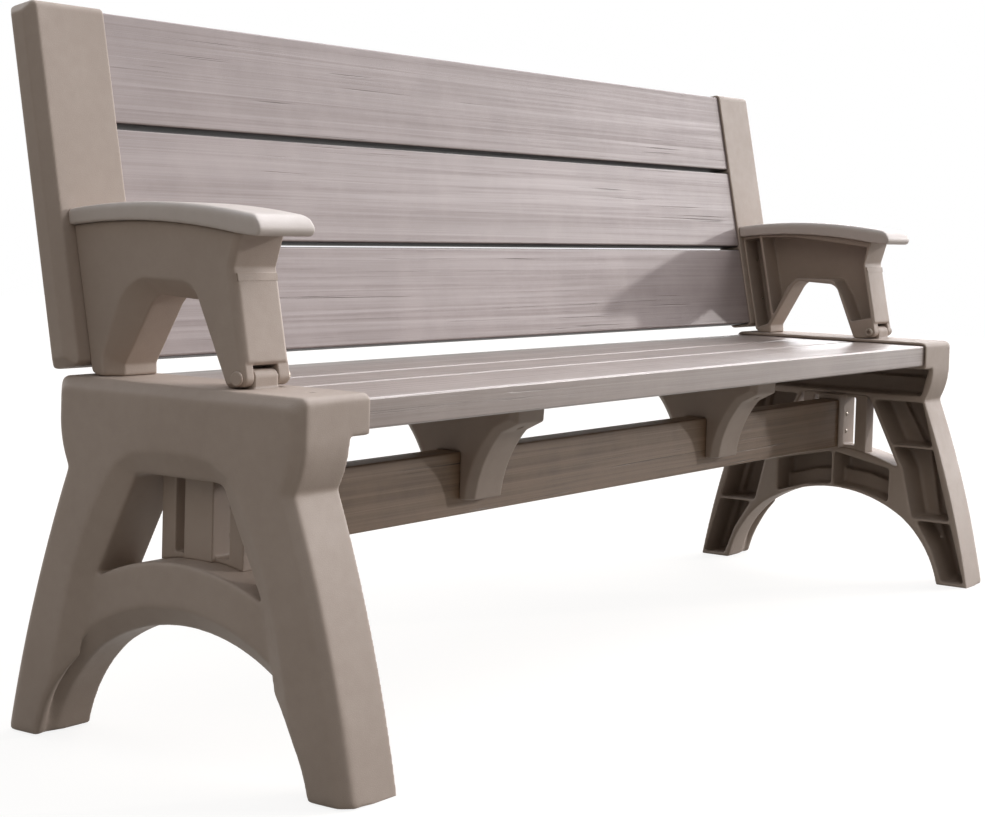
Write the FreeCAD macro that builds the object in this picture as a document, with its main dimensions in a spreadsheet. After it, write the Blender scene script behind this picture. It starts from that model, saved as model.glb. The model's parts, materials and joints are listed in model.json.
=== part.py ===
import FreeCAD, Part
import math
import os
import Sketcher

Vector = FreeCAD.Vector
EAST = FreeCAD.Rotation(0.5, 0.5, 0.5, 0.5)

# Driving dimensions in millimetres and degrees. X runs along the bench, Y from front to rear
# and Z up from the floor. The bench is the same at both ends, so one end is drawn and mirrored.
SIZES = [
    ("half_length", 927.0),
    ("leg_depth", 90.0),
    ("block_depth", 124.0),
    ("block_corner", 9.0),
    ("edge_bevel", 12.0),
    ("wall", 4.5),
    ("foot_reach", 269.0),
    ("neck_reach", 175.0),
    ("neck_drop", 65.0),
    ("block_wall", 4.0),
    ("side_radius", 1850.0),
    ("throat_radius", 125.0),
    ("seat_height", 432.0),
    ("block_rise", 6.0),
    ("floor_plate", 6.0),
    ("plank_thickness", 36.0),
    ("plank_wall", 4.0),
    ("plank_edge", 3.0),
    ("wide_plank", 136.0),
    ("narrow_plank", 88.0),
    ("seat_gap", 6.0),
    ("plank_end_gap", 22.0),
    ("fit_play", 0.15),
    ("arch_reach", 212.0),
    ("arch_shoulder", 140.0),
    ("arch_shoulder_drop", 282.0),
    ("arch_side_radius", 192.0),
    ("arch_rise", 43.0),
    ("arch_lip", 12.0),
    ("arch_lip_depth", 20.0),
    ("recess_depth", 15.0),
    ("recess_bevel", 26.0),
    ("recess_foot_reach", 196.0),
    ("recess_knee_reach", 156.0),
    ("recess_knee_drop", 192.0),
    ("recess_top_reach", 88.0),
    ("recess_top_drop", 38.0),
    ("recess_top_radius", 386.0),
    ("recess_leg_radius", 945.0),
    ("recess_side_radius", 418.0),
    ("beam_top_radius", 290.0),
    ("lower_rib_offset", 2.0),
    ("upper_rib_drop", 149.0),
    ("stretcher_thickness", 38.0),
    ("stretcher_width", 87.0),
    ("stretcher_drop", 109.5),
    ("stretcher_end_gap", 57.0),
    ("post_half_width", 22.0),
    ("post_outer_end", 49.0),
    ("post_inner_end", 115.0),
    ("post_screw_drop", 28.0),
    ("post_screw_low_drop", 60.0),
    ("post_screw_inset", 34.0),
    ("column_reach", 64.0),
    ("column_width", 22.0),
    ("column_depth", 34.0),
    ("column_height", 94.0),
    ("column_bar", 5.0),
    ("bracket_place", 346.0),
    ("bracket_width", 82.0),
    ("bracket_bevel", 10.0),
    ("bracket_reach", 107.0),
    ("bracket_foot_reach", 39.0),
    ("bracket_height", 139.0),
    ("bracket_shoulder_drop", 44.0),
    ("bracket_shoulder_inset", 28.0),
    ("bracket_lip", 30.0),
    ("bracket_screw_length", 26.0),
    ("bracket_radius", 170.0),
    ("recline", 11.3),
    ("back_plank", 140.0),
    ("back_gap", 7.0),
    ("back_base_reach", 166.0),
    ("back_base_rise", 23.0),
    ("cap_lip", 4.0),
    ("cap_margin", 5.0),
    ("cap_corner", 8.0),
    ("arm_outer_end", 30.0),
    ("arm_width", 79.0),
    ("arm_wall", 4.0),
    ("arm_rear_height", 164.0),
    ("arm_nose_reach", 262.0),
    ("arm_nose_height", 110.0),
    ("arm_top_radius", 920.0),
    ("arm_step", 36.0),
    ("arm_foot_play", 0.3),
    ("pad_overhang", 8.0),
    ("pad_rear_thickness", 20.0),
    ("pad_nose_thickness", 27.0),
    ("pad_nose_reach", 38.0),
    ("pad_edge", 8.0),
    ("pad_under_radius", 9.0),
    ("pad_top_radius", 22.0),
    ("pad_crown_radius", 970.0),
    ("pin_forward", 238.75),
    ("pin_rise", 12.3),
    ("pin_radius", 5.0),
    ("pin_play", 0.05),
    ("pin_head_radius", 8.5),
    ("pin_head_height", 3.0),
    ("knuckle_radius", 10.0),
    ("outer_ear", 17.4),
    ("inner_ear", 19.4),
    ("side_play", 0.3),
    ("stop_play", 0.3),
    ("screw_radius", 2.2),
    ("screw_head_radius", 4.4),
    ("screw_head_height", 1.6),
    ("screw_play", 0.05),
    ("screw_sink", 0.6),
]


class Term:
    """A size together with the formula that gives it from the spreadsheet."""

    def __init__(self, value, text):
        self.value = float(value)
        self.text = text

    def __add__(self, other):
        other = term(other)
        return Term(self.value + other.value, "(%s + %s)" % (self.text, other.text))

    def __sub__(self, other):
        other = term(other)
        return Term(self.value - other.value, "(%s - %s)" % (self.text, other.text))

    def __mul__(self, other):
        other = term(other)
        return Term(self.value * other.value, "(%s * %s)" % (self.text, other.text))

    def __truediv__(self, other):
        other = term(other)
        return Term(self.value / other.value, "(%s / %s)" % (self.text, other.text))

    def __neg__(self):
        return Term(-self.value, "(0 - %s)" % self.text)

    def __radd__(self, other):
        return term(other) + self

    def __rsub__(self, other):
        return term(other) - self

    def __rmul__(self, other):
        return term(other) * self


def term(value):
    """Turns a plain number into a term."""
    if isinstance(value, Term):
        return value
    return Term(value, "(%r)" % float(value))


def sine(angle):
    return Term(math.sin(math.radians(angle.value)), "sin(%s)" % angle.text)


def cosine(angle):
    return Term(math.cos(math.radians(angle.value)), "cos(%s)" % angle.text)


def between(start, end, share):
    """The value a share of the way from start to end."""
    return start + (end - start) * share


class Sizes:
    """The driving dimensions by name."""


S = Sizes()
doc = FreeCAD.newDocument("PicnicTableBench")
sheet = doc.addObject("Spreadsheet::Sheet", "Sizes")
for row, (alias, size) in enumerate(SIZES, 1):
    sheet.set("A%d" % row, alias)
    sheet.set("B%d" % row, str(size))
    sheet.setAlias("B%d" % row, alias)
    setattr(S, alias, Term(size, "Sizes.%s" % alias))
doc.recompute()


def bind(target, path, value):
    """Ties one property to the formula of a term."""
    target.setExpression(path, term(value).text)


def arc_through(start, end, radius):
    """An arc that bulges to the right of the way from start to end, or to the left if negative."""
    chord = end - start
    half = chord.Length / 2
    rise = abs(radius) - math.sqrt(max(radius * radius - half * half, 0.0))
    side = Vector(chord.y, -chord.x, 0).normalize()
    crown = (start + end) * 0.5 + side * math.copysign(rise, radius)
    return Part.Arc(start, crown, end)


def pin_point(sketch, edge, end, point):
    """Sets one edge end at its place from the sketch origin."""
    for kind, size in (("DistanceX", point[0]), ("DistanceY", point[1])):
        at = sketch.addConstraint(Sketcher.Constraint(kind, -1, 1, edge, end, size.value))
        sketch.setExpression("Constraints[%d]" % at, size.text)


def draw(sketch, points, arcs=None):
    """Draws one closed outline. arcs gives a radius for the edge that starts at each numbered point."""
    arcs = arcs or {}
    points = [(term(across), term(up)) for across, up in points]
    spots = [Vector(across.value, up.value, 0) for across, up in points]
    ends = []
    for count, start in enumerate(spots):
        finish = spots[(count + 1) % len(spots)]
        if count in arcs:
            radius = term(arcs[count])
            edge = sketch.addGeometry(arc_through(start, finish, radius.value), False)
            first = 1 if sketch.getPoint(edge, 1).distanceToPoint(start) < 0.001 else 2
            at = sketch.addConstraint(Sketcher.Constraint("Radius", edge, abs(radius.value)))
            sketch.setExpression("Constraints[%d]" % at, "abs(%s)" % radius.text)
        else:
            edge = sketch.addGeometry(Part.LineSegment(start, finish), False)
            first = 1
        ends.append((edge, first, 3 - first))
    for count, (edge, first, last) in enumerate(ends):
        pin_point(sketch, edge, first, points[count])
        following = ends[(count + 1) % len(ends)]
        sketch.addConstraint(Sketcher.Constraint("Coincident", edge, last, following[0], following[1]))


def draw_box(sketch, across, up):
    """Draws a rectangle between two pairs of limits."""
    draw(sketch, [(across[0], up[0]), (across[1], up[0]), (across[1], up[1]), (across[0], up[1])])


def draw_rounded(sketch, across, up, radius):
    """Draws a rectangle with rounded corners."""
    left, right = across
    low, high = up
    draw(sketch, [
        (left + radius, low), (right - radius, low), (right, low + radius), (right, high - radius),
        (right - radius, high), (left + radius, high), (left, high - radius), (left, low + radius),
    ], {1: radius, 3: radius, 5: radius, 7: radius})


def upright_sketch(name, along):
    """A sketch across the bench at a place along X. Its own axes are Y and Z."""
    sketch = doc.addObject("Sketcher::SketchObject", name)
    sketch.Placement = FreeCAD.Placement(Vector(term(along).value, 0, 0), EAST)
    bind(sketch, ".Placement.Base.x", along)
    return sketch


def extrude(name, sketch, length):
    """A solid that runs from its sketch towards positive X."""
    solid = doc.addObject("Part::Extrusion", name)
    solid.Base = sketch
    solid.DirMode = "Custom"
    solid.Dir = Vector(1, 0, 0)
    solid.LengthFwd = term(length).value
    solid.Solid = True
    bind(solid, "LengthFwd", length)
    return solid


def prism(name, along, outlines):
    """A solid with a constant section between two places along X."""
    start, end = along
    sketch = upright_sketch(name + "_outline", start)
    for outline in outlines:
        draw(sketch, *outline)
    return extrude(name, sketch, end - start)


def slope(name, along, first, second):
    """A solid between an outline at one place along X and an outline at another."""
    ends = []
    for label, place, outline in (("_start", along[0], first), ("_end", along[1], second)):
        sketch = upright_sketch(name + label, place)
        draw(sketch, *outline)
        ends.append(sketch)
    solid = doc.addObject("Part::Loft", name)
    solid.Sections = ends
    solid.Solid = True
    solid.Ruled = True
    return solid


def block(name, along, across, up):
    """A box between three pairs of limits."""
    box = doc.addObject("Part::Box", name)
    for path, limits in (("Length", along), ("Width", across), ("Height", up)):
        span = limits[1] - limits[0]
        setattr(box, path, term(span).value)
        bind(box, path, span)
    for path, limits in (("x", along), ("y", across), ("z", up)):
        bind(box, ".Placement.Base." + path, limits[0])
    return box


def rod(name, along, across, up, radius):
    """A cylinder along X."""
    cylinder = doc.addObject("Part::Cylinder", name)
    cylinder.Placement = FreeCAD.Placement(Vector(), FreeCAD.Rotation(Vector(0, 1, 0), 90))
    cylinder.Radius = term(radius).value
    cylinder.Height = term(along[1] - along[0]).value
    bind(cylinder, "Radius", radius)
    bind(cylinder, "Height", along[1] - along[0])
    bind(cylinder, ".Placement.Base.x", along[0])
    bind(cylinder, ".Placement.Base.y", across)
    bind(cylinder, ".Placement.Base.z", up)
    return cylinder


def join(name, pieces):
    fused = doc.addObject("Part::MultiFuse", name)
    fused.Shapes = pieces
    fused.Refine = True
    return fused


def cut(name, base, tools):
    """Takes one or more tools out of a base."""
    result = doc.addObject("Part::Cut", name)
    result.Base = base
    result.Tool = tools[0] if len(tools) == 1 else join(name + "_tools", tools)
    result.Refine = True
    return result


def common(name, base, tool):
    result = doc.addObject("Part::MultiCommon", name)
    result.Shapes = [base, tool]
    return result


def ease(kind, name, base, size, chosen):
    """Rounds or bevels the edges of a solid that the chooser accepts."""
    doc.recompute()
    result = doc.addObject("Part::" + kind, name)
    result.Base = base
    edges = enumerate(base.Shape.Edges, 1)
    result.Edges = [(number, size.value, size.value) for number, edge in edges if chosen(edge)]
    return result


def lies_at(edge, axis, place):
    """Whether a whole edge lies at one place along an axis."""
    box = edge.BoundBox
    low = getattr(box, axis + "Min")
    high = getattr(box, axis + "Max")
    return abs(low - place.value) < 0.01 and abs(high - place.value) < 0.01


def mirror_outline(side, arcs=None, top=None, bottom=None):
    """A closed outline from its rear half, listed upwards. arcs number the edges of that half."""
    arcs = arcs or {}
    count = len(side)
    points = list(side) + [(-across, up) for across, up in reversed(side)]
    radii = dict(arcs)
    for edge, radius in arcs.items():
        radii[2 * count - 2 - edge] = radius
    if top is not None:
        radii[count - 1] = top
    if bottom is not None:
        radii[2 * count - 1] = bottom
    return points, radii


# Places shared by several pieces.
BELOW = term(5)
LEG_INNER = S.half_length - S.leg_depth
BLOCK_INNER = S.half_length - S.block_depth
RECESS_FLOOR = S.half_length - S.recess_depth
SEAT_UNDER = S.seat_height - S.plank_thickness
BLOCK_TOP = S.seat_height + S.block_rise
BLOCK_UNDER = SEAT_UNDER - S.floor_plate
NECK_HEIGHT = SEAT_UNDER - S.neck_drop
RECESS_TOP = SEAT_UNDER - S.recess_top_drop
KNEE_HEIGHT = SEAT_UNDER - S.recess_knee_drop
ARCH_SHOULDER_HEIGHT = SEAT_UNDER - S.arch_shoulder_drop
LOWER_RIB = ARCH_SHOULDER_HEIGHT + S.lower_rib_offset
UPPER_RIB = SEAT_UNDER - S.upper_rib_drop
SEAT_HALF = S.wide_plank + S.seat_gap + S.narrow_plank / 2
POCKET_HALF = SEAT_HALF + S.fit_play
BLOCK_REACH = POCKET_HALF + S.block_wall
PLANK_END = S.half_length - S.plank_end_gap
STRETCHER_TOP = S.seat_height - S.stretcher_drop
STRETCHER_UNDER = STRETCHER_TOP - S.stretcher_width
STRETCHER_END = S.half_length - S.stretcher_end_gap

BACK_Y = S.back_base_reach
BACK_Z = S.seat_height + S.back_base_rise
LEAN_SINE = sine(S.recline)
LEAN_COSINE = cosine(S.recline)
BACK_TOP = S.back_plank * 3 + S.back_gap * 2
PIN_Y = BACK_Y - S.pin_forward
PIN_Z = BLOCK_TOP + S.pin_rise
PIN_W = S.pin_forward * LEAN_COSINE + (PIN_Z - BACK_Z) * LEAN_SINE
PIN_S = (PIN_Z - BACK_Z) * LEAN_COSINE - S.pin_forward * LEAN_SINE

CAP_REAR = S.plank_thickness + S.cap_lip
CAP_TOP = BACK_TOP + S.cap_margin
REAR_REACH = (
    BACK_Y + (CAP_TOP - S.cap_corner) * LEAN_SINE
    + (CAP_REAR - S.cap_corner) * LEAN_COSINE + S.cap_corner
)
SHIFT = (S.foot_reach - REAR_REACH) / 2

ARM_OUTER = S.half_length - S.arm_outer_end
ARM_INNER = ARM_OUTER - S.arm_width
EAR_OUTER_SIDE = ARM_OUTER - S.outer_ear
EAR_INNER_SIDE = ARM_INNER + S.inner_ear

SCREW_WAY = S.screw_radius + S.screw_play


def centre(piece):
    """Moves a finished piece so that the whole bench is centred over the frame's origin."""
    bind(piece, ".Placement.Base.y", SHIFT)
    return piece


def name_piece(piece, label):
    piece.Label = label
    finished[label] = piece
    return piece


def mirrored(label, source):
    """The same piece at the other end of the bench."""
    copy = doc.addObject("Part::Mirroring", label)
    copy.Source = source
    copy.Normal = Vector(1, 0, 0)
    return name_piece(copy, label)


def both_ends(label, piece):
    """Names a piece of the far end and adds its mirror image at the near end."""
    name_piece(piece, "right_" + label)
    mirrored("left_" + label, piece)


def peg(name, place, length, turn, radius):
    """A cylinder that starts at a place. turn is the angle about X that lays it over from Z."""
    cylinder = doc.addObject("Part::Cylinder", name)
    cylinder.Placement = FreeCAD.Placement(Vector(), FreeCAD.Rotation(Vector(1, 0, 0), turn))
    cylinder.Radius = term(radius).value
    cylinder.Height = term(length).value
    bind(cylinder, "Radius", radius)
    bind(cylinder, "Height", length)
    for axis, size in zip("xyz", place):
        bind(cylinder, ".Placement.Base." + axis, size)
    return cylinder


def screw(name, place, length, turn):
    """A pan-head screw. Its shank runs down from the place before the turn about X."""
    profile = doc.addObject("Sketcher::SketchObject", name + "_profile")
    low = -term(length)
    high = S.screw_head_height
    draw(profile, [
        (0, low), (S.screw_radius, low), (S.screw_radius, 0), (S.screw_head_radius, 0),
        (S.screw_head_radius, high * 0.4), (S.screw_head_radius - high * 0.8, high), (0, high),
    ])
    turned = doc.addObject("Part::Revolution", name)
    turned.Source = profile
    turned.Axis = Vector(0, 1, 0)
    turned.Angle = 360
    turned.Solid = True
    turned.Placement = FreeCAD.Placement(Vector(), FreeCAD.Rotation(Vector(1, 0, 0), 90 + turn))
    for axis, size in zip("xyz", place):
        bind(turned, ".Placement.Base." + axis, size)
    return turned


def fasteners(label, screws):
    """Identical screws as separate solids of one piece, with the mirrored ones of the other end."""
    mirrored_screws = []
    for count, source in enumerate(screws, 1):
        copy = doc.addObject("Part::Mirroring", "%s_mirrored_%d" % (label, count))
        copy.Source = source
        copy.Normal = Vector(1, 0, 0)
        mirrored_screws.append(copy)
    together = doc.addObject("Part::Compound", label)
    together.Links = screws + mirrored_screws
    return name_piece(together, label)


finished = {}

# Leg frame. Its outlines are listed upwards on the rear side.


def leg_outline(inset):
    """The side view of a leg frame, with its front, top and rear edges moved in by the inset."""
    side = [
        (S.foot_reach - inset, 0), (S.neck_reach - inset, NECK_HEIGHT),
        (BLOCK_REACH - inset, SEAT_UNDER), (BLOCK_REACH - inset, BLOCK_TOP - inset - S.block_corner),
        (BLOCK_REACH - inset - S.block_corner, BLOCK_TOP - inset),
    ]
    return mirror_outline(side, {0: S.side_radius, 1: S.throat_radius, 3: S.block_corner})


def leg_body():
    """The outer form of a leg frame with its seat block, before anything is taken out."""
    bevel_start = S.half_length - S.edge_bevel
    slab = prism("leg_slab", (LEG_INNER, bevel_start), [leg_outline(0)])
    bevelled = slope(
        "leg_slab_bevel", (bevel_start, S.half_length), leg_outline(0), leg_outline(S.edge_bevel))
    lip_side = [
        (BLOCK_REACH, BLOCK_UNDER), (BLOCK_REACH, BLOCK_TOP - S.block_corner),
        (BLOCK_REACH - S.block_corner, BLOCK_TOP),
    ]
    lip = prism("seat_block", (BLOCK_INNER, LEG_INNER), [mirror_outline(lip_side, {1: S.block_corner})])
    knuckle_along = (EAR_INNER_SIDE + S.side_play, EAR_OUTER_SIDE - S.side_play)
    knuckle = rod("knuckle", knuckle_along, PIN_Y, PIN_Z, S.knuckle_radius)
    stand = block(
        "knuckle_stand", knuckle_along,
        (PIN_Y - S.knuckle_radius, PIN_Y + S.knuckle_radius), (BLOCK_TOP, PIN_Z))
    return join("leg_solid", [slab, bevelled, lip, knuckle, stand])


def recess_outline(inset):
    """The A-shaped recess: its crease on the outer face, or its floor when inset."""
    bevel = S.recess_bevel
    shift = [(bevel, 0), (bevel, 1), (bevel * 0.77, bevel / 2), (bevel / 5, bevel)]
    side = [
        (S.recess_foot_reach, -BELOW), (S.recess_knee_reach, KNEE_HEIGHT),
        (S.recess_top_reach, RECESS_TOP - bevel * 0.6), (S.recess_top_reach - bevel, RECESS_TOP),
    ]
    if inset:
        return mirror_outline([(across - dy, up - dz) for (across, up), (dy, dz) in zip(side, shift)])
    radii = {0: S.recess_leg_radius, 1: S.recess_side_radius}
    return mirror_outline(side, radii, top=S.recess_top_radius)


def window_outline():
    """The opening between the beam and the top of the A."""
    floor_points = recess_outline(True)[0]
    return mirror_outline(floor_points[1:4], bottom=-S.beam_top_radius)


def arch_outline(lip):
    """The opening under the beam, or its wider edge on the face of the recess."""
    shoulder = S.arch_shoulder + lip
    rise = S.arch_rise + lip * 0.5
    crown = (shoulder * shoulder + rise * rise) / (rise * 2)
    side = [
        (S.arch_reach + lip * 0.2, -BELOW),
        (S.arch_shoulder + lip, ARCH_SHOULDER_HEIGHT + lip * 1.6),
    ]
    return mirror_outline(side, {0: S.arch_side_radius}, top=crown)


def silhouette(height):
    """The straight line from neck to foot, at a height."""
    return between(S.foot_reach, S.neck_reach, height / NECK_HEIGHT)


def crease(height):
    """How far out the recess reaches at a height, with its bulge and a wall beside it."""
    lower = between(S.recess_foot_reach, S.recess_knee_reach, height / KNEE_HEIGHT)
    return lower + S.wall * 3


def leg_cells():
    """The hollows of the open inner side, between ribs, and the deeper ones behind the rim."""
    deep = S.half_length - S.recess_depth - S.wall
    rim = S.half_length - S.wall
    floor_knee = S.recess_knee_reach - S.recess_bevel
    floor_top = S.recess_top_reach - S.recess_bevel
    knee = (floor_knee + S.wall * 2, KNEE_HEIGHT)
    bands = [
        (S.wall + 1.5, LOWER_RIB - S.wall, [
            (S.arch_reach + 9, None), (between(S.arch_reach, S.arch_shoulder, 0.2) + 3, 60),
            (S.arch_shoulder + 28, None)]),
        (LOWER_RIB, UPPER_RIB - S.wall, [
            (S.arch_shoulder + 20, None), knee, (floor_knee - 12, None)]),
        (UPPER_RIB, NECK_HEIGHT - S.wall, [
            (floor_knee - 14, None), (floor_top + 15, None)]),
    ]
    cells = []
    for count, (low, high, inner) in enumerate(bands, 1):
        low, high = term(low), term(high)
        ends = [low] + [term(up) for _, up in inner[1:-1]] + [high]
        edge = [(across, up) for (across, _), up in zip(inner, ends)]
        for side, sign in (("rear", 1), ("front", -1)):
            outline = [(silhouette(low) - S.wall, low), (silhouette(high) - S.wall, high)]
            outline = [(term(across) * sign, up) for across, up in edge[::-1] + outline]
            cells.append(prism("%s_cell_%d" % (side, count), (LEG_INNER - 1, deep), [(outline,)]))
        inset = S.edge_bevel + 2
        inner_low = (S.arch_reach + S.wall * 2, crease(low), floor_knee + 22)[count - 1]
        inner_high = (crease(high), S.recess_knee_reach + 8, S.recess_top_reach + 19)[count - 1]
        for side, sign in (("rear", 1), ("front", -1)):
            outline = [
                (inner_high, high), (inner_low, low),
                (silhouette(low) - inset, low), (silhouette(high) - inset, high),
            ]
            outline = [(term(across) * sign, up) for across, up in outline]
            cells.append(prism("%s_rim_cell_%d" % (side, count), (deep - 1, rim), [(outline,)]))
    return cells


def head_cells():
    """The hollows under the seat block, above the window, and behind the rim there."""
    deep = S.half_length - S.recess_depth - S.wall
    low = RECESS_TOP - S.recess_bevel + S.wall
    side = [(S.neck_reach - S.wall - 2, low + 2), (BLOCK_REACH - S.wall - 4, BLOCK_UNDER)]
    head = prism("head_cell", (LEG_INNER - 1, deep), [mirror_outline(side)])
    inset = S.edge_bevel + 4
    side = [
        (S.neck_reach - inset, RECESS_TOP + 6 + S.wall),
        (BLOCK_REACH - inset, BLOCK_UNDER),
    ]
    rim = prism("head_rim_cell", (deep - 1, S.half_length - S.wall), [mirror_outline(side)])
    return [head, rim]


def beam_cells():
    """Two stepped hollows in the beam, one on each side of its middle rib."""
    arch_crown = ARCH_SHOULDER_HEIGHT + S.arch_rise + S.wall
    lip_crown = ARCH_SHOULDER_HEIGHT + S.arch_rise + S.arch_lip * 2.1 + S.wall + 2
    outer = S.arch_shoulder - 28
    middle = outer / 2
    rib = S.wall / 2
    upper = [(outer, lip_crown + 12), (rib, lip_crown + 35)]
    steps = [
        ("deep", RECESS_FLOOR - S.wall, [(rib, lip_crown), (middle, lip_crown - 6), (outer, lip_crown - 22)]),
        ("open", RECESS_FLOOR - S.arch_lip_depth - S.wall, [
            (rib, arch_crown + 1), (middle, arch_crown - 5), (outer, arch_crown - 22)]),
    ]
    cells = []
    for label, end, lower in steps:
        for side, sign in (("rear", 1), ("front", -1)):
            edges = [(term(across) * sign, up) for across, up in lower + upper]
            cells.append(prism("%s_beam_cell_%s" % (side, label), (LEG_INNER - 1, end), [(edges,)]))
    return cells


def seat_screw_places():
    """Where the seat screws' heads seat, sunk below the block's top."""
    seat = BLOCK_TOP - S.screw_head_height - S.screw_sink
    return [(LEG_INNER + 14, (SEAT_HALF - 43.5) * sign, seat) for sign in (1, -1)]


def leg_frame(window):
    """The leg frame with its recess, window, arch, plank pocket and inner hollows."""
    past = S.half_length + 1
    recess = slope(
        "recess", (RECESS_FLOOR, S.half_length), recess_outline(True), recess_outline(False))
    arch = prism("arch", (LEG_INNER - 1, past), [arch_outline(term(0))])
    lip = slope(
        "arch_lip", (RECESS_FLOOR - S.arch_lip_depth, RECESS_FLOOR),
        arch_outline(term(0)), arch_outline(S.arch_lip))
    pocket = block(
        "plank_pocket", (BLOCK_INNER - 1, PLANK_END + 2), (-POCKET_HALF, POCKET_HALF),
        (SEAT_UNDER, S.seat_height + S.fit_play))
    bore = rod(
        "knuckle_bore", (LEG_INNER - 5, EAR_OUTER_SIDE + 5), PIN_Y, PIN_Z, S.pin_radius + S.pin_play)
    ways = [
        peg("seat_screw_way_%d" % count, (x, y, z + 1), term(20), 180, SCREW_WAY)
        for count, (x, y, z) in enumerate(seat_screw_places(), 1)]
    ways += [
        peg("seat_screw_head_way_%d" % count, place, term(5), 0, S.screw_head_radius + S.side_play)
        for count, place in enumerate(seat_screw_places(), 1)]
    tools = [recess, window, arch, lip, pocket, bore] + ways
    tools += leg_cells() + head_cells() + beam_cells()
    return centre(cut("right_leg_frame", leg_body(), tools))


# Stretcher, its posts and the centre brackets.

POST_SCREW_HEIGHTS = (STRETCHER_TOP - S.post_screw_drop, STRETCHER_TOP - S.post_screw_low_drop)
POST_SCREW_X = S.half_length - S.post_outer_end - S.post_screw_inset


def stretcher_post(window):
    """The post behind the window: two columns beside the socket for the end of the stretcher."""
    low = STRETCHER_UNDER - 40
    high = RECESS_TOP
    socket = block(
        "post_socket", (S.half_length - S.post_inner_end, S.half_length - S.post_outer_end),
        (-S.post_half_width, S.post_half_width), (low, high))
    columns = (LEG_INNER, LEG_INNER + S.column_depth)
    frame = block("post_frame", columns, (-S.column_reach, S.column_reach), (low, high))
    inner = S.column_reach - S.column_width
    window_top = RECESS_TOP - S.recess_bevel
    slots = [
        block(
            "post_slot_%d" % count, (columns[0] - 1, columns[1] + 1), limits,
            (window_top - S.column_height, window_top - S.column_bar))
        for count, limits in enumerate(
            ((S.post_half_width, inner), (-inner, -S.post_half_width)), 1)]
    open_frame = cut("post_open_frame", frame, slots)
    whole = common("post_whole", join("post_raw", [socket, open_frame]), window)
    half = S.stretcher_thickness / 2 + S.fit_play
    way = block(
        "stretcher_socket", (S.half_length - S.post_inner_end - 1, STRETCHER_END + S.fit_play),
        (-half, half), (STRETCHER_UNDER - S.fit_play, STRETCHER_TOP + S.fit_play))
    tools = [way] + [
        peg("post_way_%d" % count, (POST_SCREW_X, -S.post_half_width - 1, z), term(16), -90, SCREW_WAY)
        for count, z in enumerate(POST_SCREW_HEIGHTS, 1)]
    return centre(cut("right_stretcher_post", whole, tools))


def hollow_board(name, half_run, across, up, webs, edge):
    """A hollow extruded board with rounded edges and upright webs, along the whole bench."""
    sketch = upright_sketch(name + "_section", -half_run)
    draw_rounded(sketch, across, up, edge)
    cell = (across[1] - across[0] - S.plank_wall * (webs + 1)) / webs
    for count in range(webs):
        start = across[0] + S.plank_wall + (cell + S.plank_wall) * count
        draw_box(sketch, (start, start + cell), (up[0] + S.plank_wall, up[1] - S.plank_wall))
    return extrude(name + "_board", sketch, half_run * 2)


def drilled(name, board, places, length, turn):
    """Drills screw ways through a board at the places of one end and at their mirror places."""
    ways = []
    for count, (x, y, z) in enumerate(places, 1):
        for end, sign in (("right", 1), ("left", -1)):
            ways.append(peg(
                "%s_%s_way_%d" % (name, end, count), (x * sign, y, z), term(length), turn, SCREW_WAY))
    return cut(name, board, ways)


def seat_planks():
    """The three seat planks, wide ones in front and behind."""
    side = S.narrow_plank / 2 + S.seat_gap
    screw_ways = dict(zip(("rear", "front"), seat_screw_places()))
    for place, sign in (("front", -1), ("rear", 1)):
        limits = (side, SEAT_HALF) if sign > 0 else (-SEAT_HALF, -side)
        board = hollow_board(
            "seat_plank_" + place, PLANK_END, limits, (SEAT_UNDER, S.seat_height), 3, S.plank_edge)
        x, y, z = screw_ways[place]
        holes = [(x, y, z + 1)]
        board = drilled("seat_plank_%s_top" % place, board, holes, 20, 180)
        brackets = [(S.bracket_place + dx, y, z) for dx, y, z in bracket_screw_places(sign)]
        board = drilled("seat_plank_" + place, board, brackets, 24, 0)
        name_piece(centre(board), "seat_plank_" + place)
    middle = hollow_board(
        "seat_plank_middle", PLANK_END, (-S.narrow_plank / 2, S.narrow_plank / 2),
        (SEAT_UNDER, S.seat_height), 2, S.plank_edge)
    name_piece(centre(middle), "seat_plank_middle")


def bracket_screw_places(sign):
    """Where a bracket's screw head seats, measured along X from the bracket's middle."""
    return [(term(0), (S.bracket_reach - 19) * sign, SEAT_UNDER - 18)]


def stretcher():
    """The board under the seat that ties both leg frames together."""
    half = S.stretcher_thickness / 2
    board = hollow_board(
        "stretcher_board", STRETCHER_END, (-half, half), (STRETCHER_UNDER, STRETCHER_TOP), 1,
        S.plank_edge)
    places = [(POST_SCREW_X, -half - 1, z) for z in POST_SCREW_HEIGHTS]
    name_piece(centre(drilled("stretcher_board", board, places, 12, -90)), "stretcher_board")


def base_plane(body, role):
    """One of a body's own origin planes."""
    return [plane for plane in body.Origin.OriginFeatures if plane.Role == role][0]


def body_sketch(body, name, role="YZ_Plane"):
    sketch = body.newObject("Sketcher::SketchObject", name)
    sketch.AttachmentSupport = [(base_plane(body, role), "")]
    sketch.MapMode = "FlatFace"
    return sketch


def pad(body, name, sketch, length, midplane=False):
    feature = body.newObject("PartDesign::Pad", name)
    feature.Profile = sketch
    feature.Length = term(length).value
    feature.Midplane = midplane
    bind(feature, "Length", length)
    return feature


def pocket_through(body, name, sketch, length):
    """A cut to both sides of its sketch."""
    feature = body.newObject("PartDesign::Pocket", name)
    feature.Profile = sketch
    feature.Length = term(length).value
    feature.Midplane = True
    bind(feature, "Length", length)
    return feature


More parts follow.
